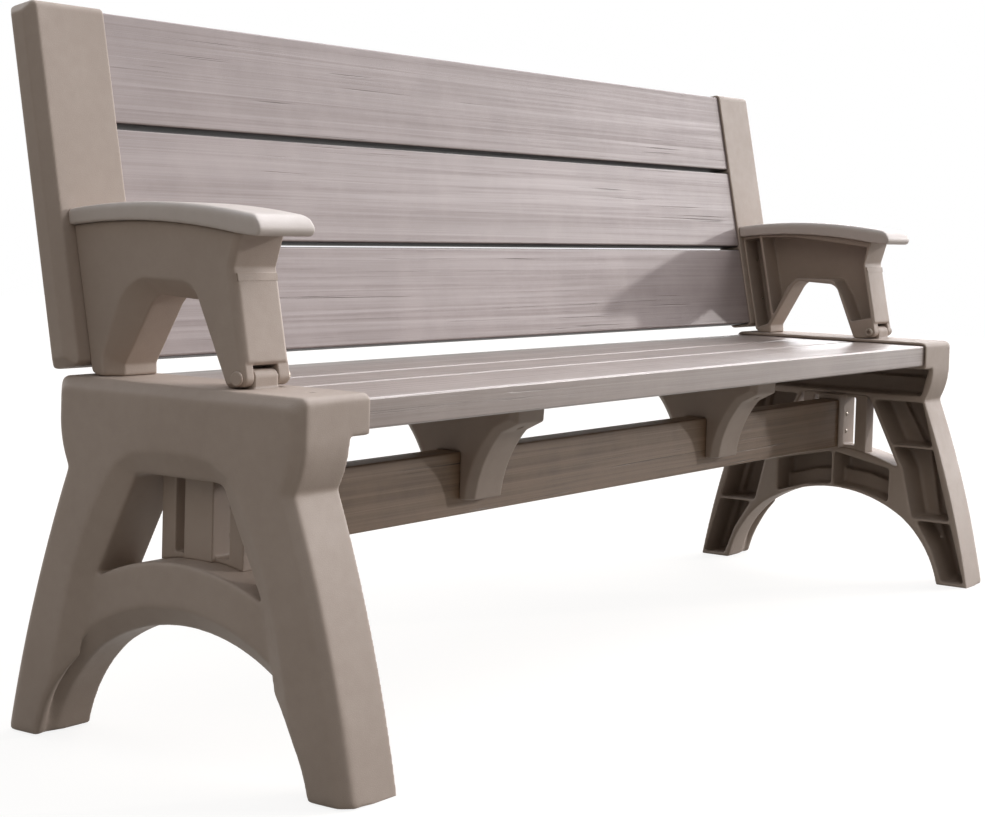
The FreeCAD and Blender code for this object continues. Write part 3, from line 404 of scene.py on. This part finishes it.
@dataclass(frozen=True)
class MetalFinish:
    """Plated steel with brushed lines and dull patches."""

    name: str
    light: Colour
    dull: Colour
    roughness: float = 0.38

    def build(self, effects: Effects) -> bpy.types.Material:
        """Makes the material."""
        material = bpy.data.materials.new(self.name)
        material.use_nodes = True
        tree = Tree(material.node_tree)
        place = tree.add("ShaderNodeTexCoord").outputs["Object"]
        patches = tree.span(tree.noise(place, 180.0, 4.0, 0.6), 0.4, 0.66)
        brushed = tree.noise(tree.stretched(place, (300.0, 2600.0, 2600.0)), 1.0, 2.0)
        wear_and_shade = effects.wear_and_shade.place(tree, {"Place": place, "Amount": 0.8})
        colour = tree.mix(patches, self.light, self.dull)
        colour = tree.mix(wear_and_shade["Edge"], colour, tuple(min(1.0, level * 1.3) for level in self.light))
        rough = tree.span(patches, 0.0, 1.0, self.roughness, self.roughness + 0.2)
        bump = tree.add("ShaderNodeBump", {"Strength": 0.25, "Distance": 0.0001, "Height": brushed})
        shader = tree.add("ShaderNodeBsdfPrincipled", {
            "Base Color": colour, "Metallic": 0.9, "Roughness": rough,
            "Normal": bump.outputs["Normal"]})
        tree.add("ShaderNodeOutputMaterial", {"Surface": shader.outputs[0]})
        return material


def smooth_by_angle(mesh: bpy.types.Mesh, limit: float = math.radians(38)) -> None:
    """Shades a mesh smooth, but for its edges sharper than the limit."""
    work = bmesh.new()
    work.from_mesh(mesh)
    for face in work.faces:
        face.smooth = True
    for edge in work.edges:
        edge.smooth = not (len(edge.link_faces) == 2 and edge.calc_face_angle(0.0) > limit)
    work.to_mesh(mesh)
    work.free()


def plain_mesh(piece: bpy.types.Object, name: str) -> bpy.types.Mesh:
    """Turns a piece with live modifiers into a plain mesh.

    Args:
        piece: the object, linked to the scene.
        name: the new mesh's name.

    Returns:
        The evaluated mesh.
    """
    graph = bpy.context.evaluated_depsgraph_get()
    mesh = bpy.data.meshes.new_from_object(piece.evaluated_get(graph), depsgraph=graph)
    mesh.name = name
    return mesh


def new_piece(name: str, mesh: bpy.types.Mesh) -> bpy.types.Object:
    """Links a new object that shows a mesh."""
    piece = bpy.data.objects.new(name, mesh)
    bpy.context.scene.collection.objects.link(piece)
    return piece


def merged_copy(node: bpy.types.Object, name: str, joined: bool = True) -> bpy.types.Mesh:
    """Copies a CAD node's loose triangles as one skin.

    Args:
        node: the CAD node, which stays as it is.
        name: the new mesh's name.
        joined: joins the triangles of a flat face.

    Returns:
        The skin, in the row frame.
    """
    work = bmesh.new()
    work.from_mesh(node.data)
    bmesh.ops.remove_doubles(work, verts=work.verts[:], dist=WELD)
    if joined:
        bmesh.ops.dissolve_limit(
            work, angle_limit=FLAT, use_dissolve_boundaries=False,
            verts=work.verts[:], edges=work.edges[:])
        bmesh.ops.connect_verts_concave(work, faces=work.faces[:])
    mesh = bpy.data.meshes.new(name)
    work.to_mesh(mesh)
    work.free()
    return mesh


def finish_piece(piece: bpy.types.Object, node: str, body: Body,
                 finish: bpy.types.Material) -> None:
    """Evens a piece's shading, dresses it and hands it to the frame.

    Args:
        piece: the object, with its modifiers applied.
        node: the CAD node that it replaces.
        body: the body that it rides on.
        finish: the material that it wears.
    """
    piece.data.materials.clear()
    piece.data.materials.append(finish)
    weigh = piece.modifiers.new("flat_faces", "WEIGHTED_NORMAL")
    weigh.keep_sharp = True
    piece.data = plain_mesh(piece, piece.name + "_mesh")
    piece.modifiers.clear()
    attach(piece, body.value)
    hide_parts(node)
    LOG.info("%s: %d faces", piece.name, len(piece.data.polygons))


@dataclass
class Moulded:
    """A moulded part: its CAD form with every corner rounded off as a mould leaves it."""

    node: str
    body: Body
    slot: Slot
    grain: float = 0.0022
    passes: int = 7
    most_faces: int = 120_000
    exact_near: Optional[Point] = None
    exact_reach: tuple[float, float] = (0.013, 0.019)
    outer_passes: int = 0
    outer_from: float = 0.88
    outer_blend: float = 0.02
    outer_share: float = 1.0
    foot_height: float = 0.13

    def nearness(self, place: Vector) -> float:
        """Tells how much of the exact form a place keeps: 1 at the hinge, 0 away from it."""
        if self.exact_near is None:
            return 0.0
        inner, outer = self.exact_reach
        away = math.hypot(place.y - self.exact_near[1], place.z - self.exact_near[2])
        return min(1.0, max(0.0, (outer - away) / (outer - inner)))

    def softness(self, place: Vector) -> float:
        """Tells how broad the rounding is at a place: most at the outer side of a foot."""
        outside = min(1.0, max(0.0, (abs(place.x) - self.outer_from) / self.outer_blend))
        foot = min(1.0, max(0.0, 2.0 * (1.0 - place.z / self.foot_height)))
        return outside * (self.outer_share + (1.0 - self.outer_share) * foot)

    def soften_outside(self, piece: bpy.types.Object) -> None:
        """Rounds the part's outer side further, where its corners are broad."""
        group = piece.vertex_groups.new(name="outside")
        for vertex in piece.data.vertices:
            share = self.softness(vertex.co)
            if share > 0.0:
                group.add([vertex.index], share, "REPLACE")
        further = piece.modifiers.new("outside", "SMOOTH")
        further.factor = 0.5
        further.iterations = self.outer_passes
        further.vertex_group = group.name
        mesh = plain_mesh(piece, piece.name + "_outside")
        piece.modifiers.clear()
        piece.vertex_groups.clear()
        piece.data = mesh

    def settle(self, mesh: bpy.types.Mesh, skin: BVHTree) -> None:
        """Moves the points near the hinge back onto the exact form."""
        for vertex in mesh.vertices:
            share = self.nearness(vertex.co)
            if share > 0.0:
                vertex.co = vertex.co.lerp(skin.find_nearest(vertex.co)[0], share)

    def build(self, frame: dict, finish: bpy.types.Material) -> bpy.types.Object:
        """Rounds the part off and dresses it.

        Args:
            frame: the loaded frame.
            finish: the material that it wears.

        Returns:
            The finished piece.
        """
        name = self.node + "_skin"
        exact = merged_copy(frame["nodes"][self.node], name + "_exact", joined=False)
        work = bmesh.new()
        work.from_mesh(exact)
        skin = BVHTree.FromBMesh(work)
        work.free()
        piece = new_piece(name, exact)
        cells = piece.modifiers.new("cells", "REMESH")
        cells.mode = "VOXEL"
        cells.voxel_size = self.grain
        cells.use_smooth_shade = True
        rounding = piece.modifiers.new("rounding", "SMOOTH")
        rounding.factor = 0.5
        rounding.iterations = self.passes
        soft = plain_mesh(piece, name + "_soft")
        piece.modifiers.clear()
        piece.data = soft
        if self.outer_passes:
            self.soften_outside(piece)
        self.settle(piece.data, skin)
        triangles = 2 * len(piece.data.polygons)
        if triangles > self.most_faces:
            thinner = piece.modifiers.new("thinner", "DECIMATE")
            thinner.ratio = self.most_faces / triangles
            thin = plain_mesh(piece, name + "_thin")
            piece.modifiers.clear()
            self.settle(thin, skin)
            piece.data = thin
        finish_piece(piece, self.node, self.body, finish)
        return piece


@dataclass
class Turned:
    """A small exact part: its CAD form with its edges broken by a fine bevel."""

    node: str
    body: Body
    slot: Slot
    width: float = 0.0006
    segments: int = 2
    sharp: float = math.radians(30)

    def build(self, frame: dict, finish: bpy.types.Material) -> bpy.types.Object:
        """Breaks the part's edges and dresses it.

        Args:
            frame: the loaded frame.
            finish: the material that it wears.

        Returns:
            The finished piece.
        """
        name = self.node + "_skin"
        piece = new_piece(name, merged_copy(frame["nodes"][self.node], name + "_exact"))
        bevel = piece.modifiers.new("corners", "BEVEL")
        bevel.width = self.width
        bevel.segments = self.segments
        bevel.limit_method = "ANGLE"
        bevel.angle_limit = self.sharp
        bevel.use_clamp_overlap = True
        rounded = plain_mesh(piece, name + "_round")
        piece.modifiers.clear()
        piece.data = rounded
        smooth_by_angle(rounded)
        finish_piece(piece, self.node, self.body, finish)
        return piece


@dataclass
class Finishes:
    """Every material of the bench."""

    moulding: bpy.types.Material
    pad: bpy.types.Material
    back_plank: bpy.types.Material
    seat_plank: bpy.types.Material
    stretcher: bpy.types.Material
    metal: bpy.types.Material


def make_finishes() -> Finishes:
    """Builds the shared groups and the materials."""
    effects = Effects(wear_and_corner_shade_group(), moulded_skin_group(), plank_grain_group())
    return Finishes(
        moulding=MouldedFinish(
            "taupe_moulding", linear(172, 157, 145), linear(163, 148, 136)).build(effects),
        pad=MouldedFinish(
            "taupe_pad", linear(200, 190, 183), linear(192, 182, 174), roughness=0.5).build(effects),
        back_plank=PlankFinish(
            "weathered_plank", linear(169, 157, 155), linear(150, 138, 135), linear(84, 70, 63),
            roughness=0.52, gloss=0.36, gap_shade_below=0.86).build(effects),
        seat_plank=PlankFinish(
            "seat_plank_finish", linear(160, 147, 140), linear(132, 118, 110), linear(70, 57, 50),
            roughness=0.34, coat=0.15).build(effects),
        # stretcher colours: partly the board's own brown, partly darkened to stand in for the shade under
        # the seat
        stretcher=PlankFinish(
            "stretcher_finish", linear(134, 110, 87), linear(98, 78, 59), linear(48, 36, 27),
            roughness=0.5, density=1.2).build(effects),
        metal=MetalFinish("plated_steel", linear(170, 160, 148), linear(128, 118, 106)).build(effects),
    )


@dataclass
class LegEnds:
    """The two leg frames with the posts and brackets that hold the stretcher."""

    leg_grain: float = 0.0022
    leg_passes: int = 10
    post_grain: float = 0.0014
    bracket_grain: float = 0.0016
    passes: int = 7
    leg_faces: int = 180_000
    small_faces: int = 60_000
    outer_passes: int = 44
    outer_share: float = 0.24

    def build(self, frame: dict, finishes: Finishes, hinge: Point) -> None:
        """Builds both ends."""
        for side in SIDES:
            Moulded(side + "_leg_frame", Body.BASE, Slot.MOULDING, self.leg_grain, self.leg_passes,
                    self.leg_faces, hinge, outer_passes=self.outer_passes,
                    outer_share=self.outer_share).build(frame, finishes.moulding)
            Moulded(side + "_stretcher_post", Body.BASE, Slot.MOULDING, self.post_grain, self.passes,
                    self.small_faces).build(frame, finishes.moulding)
            Moulded(side + "_center_bracket", Body.BASE, Slot.MOULDING, self.bracket_grain,
                    self.passes, self.small_faces).build(frame, finishes.moulding)


@dataclass
class ArmBar:
    """The raised bar across the front of an armrest, just under its step."""

    side: str
    along: tuple[float, float] = (0.8207, 0.8893)
    face_y: float = -0.0727
    middle_z: float = 0.5642
    height: float = 0.0090
    rise: float = 0.0005
    sunk: float = 0.0040
    corner: float = 0.0004
    recline: float = RECLINE

    def build(self, finish: bpy.types.Material) -> bpy.types.Object:
        """Makes the bar, leaning as the armrest's front does."""
        sign = -1.0 if self.side == SIDES[0] else 1.0
        length, depth = self.along[1] - self.along[0], self.rise + self.sunk
        work = bmesh.new()
        bmesh.ops.create_cube(work, size=1.0)
        bmesh.ops.scale(work, vec=(length, depth, self.height), verts=work.verts)
        bmesh.ops.translate(work, vec=(0.0, depth / 2 - self.rise, 0.0), verts=work.verts)
        bmesh.ops.bevel(work, geom=work.edges[:], offset=self.corner, segments=4, affect="EDGES")
        bmesh.ops.rotate(
            work, cent=(0.0, 0.0, 0.0), matrix=Matrix.Rotation(-self.recline, 3, "X"), verts=work.verts)
        bmesh.ops.translate(
            work, vec=(sign * sum(self.along) / 2, self.face_y, self.middle_z), verts=work.verts)
        name = self.side + "_arm_bar"
        mesh = bpy.data.meshes.new(name + "_mesh")
        work.to_mesh(mesh)
        work.free()
        smooth_by_angle(mesh)
        mesh.materials.append(finish)
        piece = new_piece(name, mesh)
        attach(piece, Body.BACK.value)
        LOG.info("%s: %d faces", name, len(mesh.polygons))
        return piece


@dataclass
class BackFrame:
    """The end caps, the armrests and their pads."""

    cap_grain: float = 0.0018
    arm_grain: float = 0.0013
    pad_grain: float = 0.0016
    passes: int = 7
    pad_passes: int = 12
    cap_faces: int = 90_000
    arm_faces: int = 150_000
    pad_faces: int = 50_000
    arm_outer_passes: int = 28
    arm_outer_from: float = 0.874

    def build(self, frame: dict, finishes: Finishes, hinge: Point) -> None:
        """Builds both ends of the back."""
        for side in SIDES:
            Moulded(side + "_back_cap", Body.BACK, Slot.MOULDING, self.cap_grain, self.passes,
                    self.cap_faces).build(frame, finishes.moulding)
            Moulded(side + "_armrest_frame", Body.BACK, Slot.MOULDING, self.arm_grain, self.passes,
                    self.arm_faces, hinge, outer_passes=self.arm_outer_passes,
                    outer_from=self.arm_outer_from).build(frame, finishes.moulding)
            ArmBar(side).build(finishes.moulding)
            Moulded(side + "_arm_pad", Body.BACK, Slot.PAD, self.pad_grain, self.pad_passes,
                    self.pad_faces).build(frame, finishes.pad)


@dataclass
class Boards:
    """The planks and the stretcher, which keep their CAD form and get their finishes."""

    back: Sequence[str] = ("back_plank_bottom", "back_plank_middle", "back_plank_top")
    seat: Sequence[str] = ("seat_plank_front", "seat_plank_middle", "seat_plank_rear")

    def dress(self, frame: dict, names: Sequence[str], finish: bpy.types.Material) -> None:
        """Gives CAD nodes a finish in their own material slots."""
        for name in names:
            node = frame["nodes"][name]
            if not node.material_slots:
                raise RuntimeError("%s has no material slot" % name)
            for slot in node.material_slots:
                slot.material = finish
            LOG.info("%s: dressed in %s", name, finish.name)

    def build(self, frame: dict, finishes: Finishes) -> None:
        """Dresses every board."""
        self.dress(frame, self.back, finishes.back_plank)
        self.dress(frame, self.seat, finishes.seat_plank)
        self.dress(frame, ("stretcher_board",), finishes.stretcher)


def loose_parts(node: bpy.types.Object) -> list[list[Vector]]:
    """Splits a CAD node into its separate solids.

    Args:
        node: the CAD node.

    Returns:
        The corner points of each solid.
    """
    work = bmesh.new()
    work.from_mesh(node.data)
    bmesh.ops.remove_doubles(work, verts=work.verts[:], dist=WELD)
    seen: set[int] = set()
    parts = []
    for start in work.verts:
        if start.index in seen:
            continue
        seen.add(start.index)
        queue, points = [start], []
        while queue:
            vertex = queue.pop()
            points.append(vertex.co.copy())
            for edge in vertex.link_edges:
                other = edge.other_vert(vertex)
                if other.index not in seen:
                    seen.add(other.index)
                    queue.append(other)
        parts.append(points)
    work.free()
    return parts


class ScrewTree:
    """Geometry Nodes that stand one domed screw on each point, with a cross in its head."""

    cross: Point = (0.0052, 0.0009, 0.0016)

    def __init__(self) -> None:
        """Builds the tree once."""
        group = bpy.data.node_groups.new("screw_row", "GeometryNodeTree")
        face = group.interface
        face.new_socket("Points", in_out="INPUT", socket_type="NodeSocketGeometry")
        self.sockets = {}
        for label, kind, value in (
                ("Head Radius", "NodeSocketFloat", 0.0044), ("Head Height", "NodeSocketFloat", 0.0016),
                ("Shank Radius", "NodeSocketFloat", 0.0022), ("Length", "NodeSocketFloat", 0.014),
                ("Seed", "NodeSocketInt", 7)):
            socket = face.new_socket(label, in_out="INPUT", socket_type=kind)
            socket.default_value = value
            self.sockets[label] = socket.identifier
        finish = face.new_socket("Finish", in_out="INPUT", socket_type="NodeSocketMaterial")
        self.sockets["Finish"] = finish.identifier
        face.new_socket("Screws", in_out="OUTPUT", socket_type="NodeSocketGeometry")
        self.group = group
        self.fill(Tree(group))

    def fill(self, tree: Tree) -> None:
        """Adds the nodes: a dome cut by a cross, a shank, and one turned copy on each point."""
        entry = tree.add("NodeGroupInput").outputs
        radius, height = entry["Head Radius"], entry["Head Height"]
        dome = tree.add("GeometryNodeMeshUVSphere", {"Segments": 24, "Rings": 14, "Radius": radius})
        flat = tree.add("ShaderNodeCombineXYZ", {"X": 1.0, "Y": 1.0})
        tree.tree.links.new(tree.maths("DIVIDE", height, radius), flat.inputs["Z"])
        dome = tree.add("GeometryNodeTransform", {
            "Geometry": dome.outputs["Mesh"], "Scale": flat.outputs[0]})
        below = tree.add("GeometryNodeMeshCube", {"Size": (0.05, 0.05, 0.05)})
        below = tree.add("GeometryNodeTransform", {
            "Geometry": below.outputs["Mesh"], "Translation": (0.0, 0.0, -0.025)})
        bars = [below.outputs[0]]
        long, wide, deep = self.cross
        for size in ((long, wide, deep), (wide, long, deep)):
            bar = tree.add("GeometryNodeMeshCube", {"Size": size})
            lift = tree.add("ShaderNodeCombineXYZ")
            tree.tree.links.new(height, lift.inputs["Z"])
            bars.append(tree.add("GeometryNodeTransform", {
                "Geometry": bar.outputs["Mesh"], "Translation": lift.outputs[0]}).outputs[0])
        head = tree.add("GeometryNodeMeshBoolean", operation="DIFFERENCE")
        tree.tree.links.new(dome.outputs[0], head.inputs["Mesh 1"])
        for bar in bars:
            tree.tree.links.new(bar, head.inputs["Mesh 2"])
        shank = tree.add("GeometryNodeMeshCylinder", {
            "Vertices": 20, "Radius": entry["Shank Radius"], "Depth": entry["Length"]})
        sink = tree.add("ShaderNodeCombineXYZ")
        tree.tree.links.new(tree.maths("MULTIPLY", entry["Length"], -0.5), sink.inputs["Z"])
        shank = tree.add("GeometryNodeTransform", {
            "Geometry": shank.outputs["Mesh"], "Translation": sink.outputs[0]})
        whole = tree.add("GeometryNodeJoinGeometry")
        tree.tree.links.new(head.outputs[0], whole.inputs[0])
        tree.tree.links.new(shank.outputs[0], whole.inputs[0])
        aim = tree.add("GeometryNodeInputNamedAttribute", {"Name": "aim"}, data_type="FLOAT_VECTOR")
        turn = tree.add("FunctionNodeAlignRotationToVector", {"Vector": aim.outputs[0]}, axis="Z")
        chance = tree.add("FunctionNodeRandomValue", {"Seed": entry["Seed"]}, data_type="FLOAT")
        spin = tree.add("FunctionNodeAxisAngleToRotation", {
            "Angle": tree.maths("MULTIPLY", chance.outputs[1], math.tau)})
        both = tree.add("FunctionNodeRotateRotation", {
            "Rotation": turn.outputs[0], "Rotate By": spin.outputs[0]}, rotation_space="LOCAL")
        copies = tree.add("GeometryNodeInstanceOnPoints", {
            "Points": entry["Points"], "Instance": whole.outputs[0], "Rotation": both.outputs[0]})
        real = tree.add("GeometryNodeRealizeInstances", {"Geometry": copies.outputs[0]})
        dressed = tree.add("GeometryNodeSetMaterial", {
            "Geometry": real.outputs[0], "Material": entry["Finish"]})
        leave = tree.add("NodeGroupOutput")
        tree.tree.links.new(dressed.outputs[0], leave.inputs["Screws"])


@dataclass
class ScrewSet:
    """The screws of one CAD node, all facing the same way."""

    node: str
    body: Body
    aim: Point
    head_height: float = 0.0016

    def build(self, frame: dict, tree: ScrewTree, finish: bpy.types.Material) -> bpy.types.Object:
        """Stands a screw where each CAD screw is.

        Args:
            frame: the loaded frame.
            tree: the shared geometry tree.
            finish: the screws' material.

        Returns:
            The finished piece.
        """
        aim = Vector(self.aim).normalized()
        seats, lengths = [], []
        for points in loose_parts(frame["nodes"][self.node]):
            middle = sum(points, Vector()) / len(points)
            reach = [(point - middle).dot(aim) for point in points]
            seats.append(middle + aim * (max(reach) - self.head_height))
            lengths.append(max(reach) - min(reach) - self.head_height)
        mesh = bpy.data.meshes.new(self.node + "_points")
        mesh.from_pydata([tuple(seat) for seat in seats], [], [])
        facing = mesh.attributes.new("aim", "FLOAT_VECTOR", "POINT")
        facing.data.foreach_set("vector", [level for _ in seats for level in aim])
        piece = new_piece(self.node + "_set", mesh)
        rows = piece.modifiers.new("screws", "NODES")
        rows.node_group = tree.group
        rows[tree.sockets["Head Height"]] = self.head_height
        rows[tree.sockets["Length"]] = max(lengths)
        rows[tree.sockets["Finish"]] = finish
        made = plain_mesh(piece, self.node + "_mesh")
        piece.modifiers.clear()
        piece.data = made
        smooth_by_angle(made)
        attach(piece, self.body.value)
        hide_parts(self.node)
        LOG.info("%s: %d screws", self.node, len(seats))
        return piece


@dataclass
class Fixings:
    """The hinge pins, their retainers, and every screw and bolt."""

    recline: float = RECLINE
    pin_corner: float = 0.0006

    def build(self, frame: dict, finishes: Finishes) -> None:
        """Builds all fixings."""
        for side in SIDES:
            Turned(side + "_hinge_pin", Body.BASE, Slot.METAL, self.pin_corner).build(
                frame, finishes.moulding)
            Turned(side + "_pin_retainer", Body.BASE, Slot.METAL, self.pin_corner / 2).build(
                frame, finishes.metal)
        tree = ScrewTree()
        behind = (0.0, math.cos(self.recline), -math.sin(self.recline))
        for node, body, aim in (
                ("seat_screws", Body.BASE, (0.0, 0.0, 1.0)), ("post_screws", Body.BASE, (0.0, -1.0, 0.0)),
                ("bracket_screws", Body.BASE, (0.0, 0.0, -1.0)), ("cap_bolts", Body.BACK, behind)):
            ScrewSet(node, body, aim).build(frame, tree, finishes.metal)


@dataclass(frozen=True)
class Lamp:
    """A far lamp: its direction from the front and above the horizon in degrees, and its light."""

    name: str
    turn: float
    rise: float
    spread: float
    strength: float
    colour: Colour


@dataclass
class Studio:
    """The pale floor, the white surround, the lamps and the camera."""

    image: tuple[int, int] = (985, 817)
    place: Point = (-2.576988, -1.589614, 0.640101)
    heading: float = 55.333
    pitch: float = -2.733
    roll: float = 1.680
    focal: float = 1996.727
    centre: tuple[float, float] = (491.689, 312.639)
    sensor: float = 36.0
    floor_half: float = 9.0
    floor_drop: float = 0.0006
    floor_lift: float = 0.86
    lamps: Sequence[Lamp] = (
        Lamp("low_key", 62.0, 13.0, 2.0, 1.0, (1.0, 0.96, 0.94)),
        Lamp("high_key", 60.0, 45.0, 25.0, 1.05, (0.98, 0.97, 1.0)),
        Lamp("side_sky", 90.0, 25.0, 60.0, 3.2, (0.99, 0.97, 1.0)),
        Lamp("top_sky", 0.0, 88.0, 80.0, 0.6, (0.78, 0.95, 1.18)),
        Lamp("left_sky", -62.0, 32.0, 40.0, 0.33, (1.0, 0.92, 0.84)),
        Lamp("back_sky", 180.0, 30.0, 60.0, 0.8, (0.96, 0.97, 1.0)),
    )

    def camera(self) -> None:
        """Stands the camera where the photograph was taken from."""
        heading, pitch, roll = (math.radians(angle) for angle in (self.heading, self.pitch, self.roll))
        ahead = Vector((
            math.sin(heading) * math.cos(pitch), math.cos(heading) * math.cos(pitch), math.sin(pitch)))
        level = Vector((math.cos(heading), -math.sin(heading), 0.0))
        above = level.cross(ahead)
        right = level * math.cos(roll) + above * math.sin(roll)
        up = above * math.cos(roll) - level * math.sin(roll)
        lens = bpy.data.cameras.new("camera")
        width, height = self.image
        lens.sensor_width = self.sensor
        lens.lens = self.focal / width * self.sensor
        lens.shift_x = (width / 2 - self.centre[0]) / width
        lens.shift_y = (self.centre[1] - height / 2) / width
        lens.clip_end = 60.0
        holder = bpy.data.objects.new("camera", lens)
        turn = Matrix((right, up, -ahead)).transposed().to_4x4()
        holder.matrix_world = Matrix.Translation(self.place) @ turn
        bpy.context.scene.collection.objects.link(holder)
        bpy.context.scene.camera = holder

    @staticmethod
    def seen_as_white(tree: Tree) -> bpy.types.NodeSocket:
        """Tells the rays that see the plain white background from those that carry light."""
        path = tree.add("ShaderNodeLightPath").outputs
        direct = tree.maths("MAXIMUM", path["Is Camera Ray"], path["Is Glossy Ray"])
        return tree.maths("MAXIMUM", direct, path["Is Transmission Ray"])

    def floor(self) -> None:
        """Lays the floor, which the camera sees as white but for the shadows on it."""
        half, drop = self.floor_half, -self.floor_drop
        mesh = bpy.data.meshes.new("floor")
        mesh.from_pydata(
            [(-half, -half, drop), (half, -half, drop), (half, half, drop), (-half, half, drop)],
            [], [(0, 1, 2, 3)])
        material = bpy.data.materials.new("pale_floor")
        material.use_nodes = True
        tree = Tree(material.node_tree)
        place = tree.add("ShaderNodeTexCoord").outputs["Object"]
        tone = tree.mix(tree.noise(place, 2.0), (0.19, 0.175, 0.155), (0.22, 0.205, 0.185))
        diffuse = tree.add("ShaderNodeBsdfDiffuse", {"Color": tone})
        seen = self.seen_as_white(tree)
        lift = tree.add("ShaderNodeEmission", {
            "Color": (1.0, 1.0, 1.0), "Strength": tree.maths("MULTIPLY", seen, self.floor_lift)})
        both = tree.add("ShaderNodeAddShader")
        tree.tree.links.new(diffuse.outputs[0], both.inputs[0])
        tree.tree.links.new(lift.outputs[0], both.inputs[1])
        tree.add("ShaderNodeOutputMaterial", {"Surface": both.outputs[0]})
        mesh.materials.append(material)
        new_piece("floor", mesh)

    def surround(self) -> None:
        """Fills the surround with soft light, seen as plain white."""
        world = bpy.data.worlds.new("surround")
        bpy.context.scene.world = world
        world.use_nodes = True
        tree = Tree(world.node_tree)
        soft = tree.add("ShaderNodeBackground", {"Color": (1.0, 0.92, 0.83), "Strength": 0.15})
        white = tree.add("ShaderNodeBackground", {"Color": (1.0, 1.0, 1.0), "Strength": 1.0})
        both = tree.add("ShaderNodeMixShader", {"Fac": self.seen_as_white(tree)})
        tree.tree.links.new(soft.outputs[0], both.inputs[1])
        tree.tree.links.new(white.outputs[0], both.inputs[2])
        tree.add("ShaderNodeOutputWorld", {"Surface": both.outputs[0]})

    @staticmethod
    def hang(lamp: Lamp) -> None:
        """Hangs one far lamp that lights the bench from its direction."""
        data = bpy.data.lights.new(lamp.name, "SUN")
        data.angle = math.radians(lamp.spread)
        data.energy = lamp.strength
        data.color = lamp.colour
        turn, rise = math.radians(lamp.turn), math.radians(lamp.rise)
        source = Vector((
            math.sin(turn) * math.cos(rise), -math.cos(turn) * math.cos(rise), math.sin(rise)))
        holder = bpy.data.objects.new(lamp.name, data)
        holder.rotation_euler = source.to_track_quat("Z", "Y").to_euler()
        bpy.context.scene.collection.objects.link(holder)

    def build(self) -> None:
        """Sets up the whole studio."""
        self.camera()
        self.floor()
        self.surround()
        for lamp in self.lamps:
            self.hang(lamp)
        scene = bpy.context.scene
        scene.view_settings.view_transform = "Standard"


def main() -> None:
    """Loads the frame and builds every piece."""
    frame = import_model()
    finishes = make_finishes()
    hinge = tuple(frame["joints"][0]["pos_m"])
    LegEnds().build(frame, finishes, hinge)
    BackFrame().build(frame, finishes, hinge)
    Boards().build(frame, finishes)
    Fixings().build(frame, finishes)
    Studio().build()


if __name__ == "__main__":
    main()
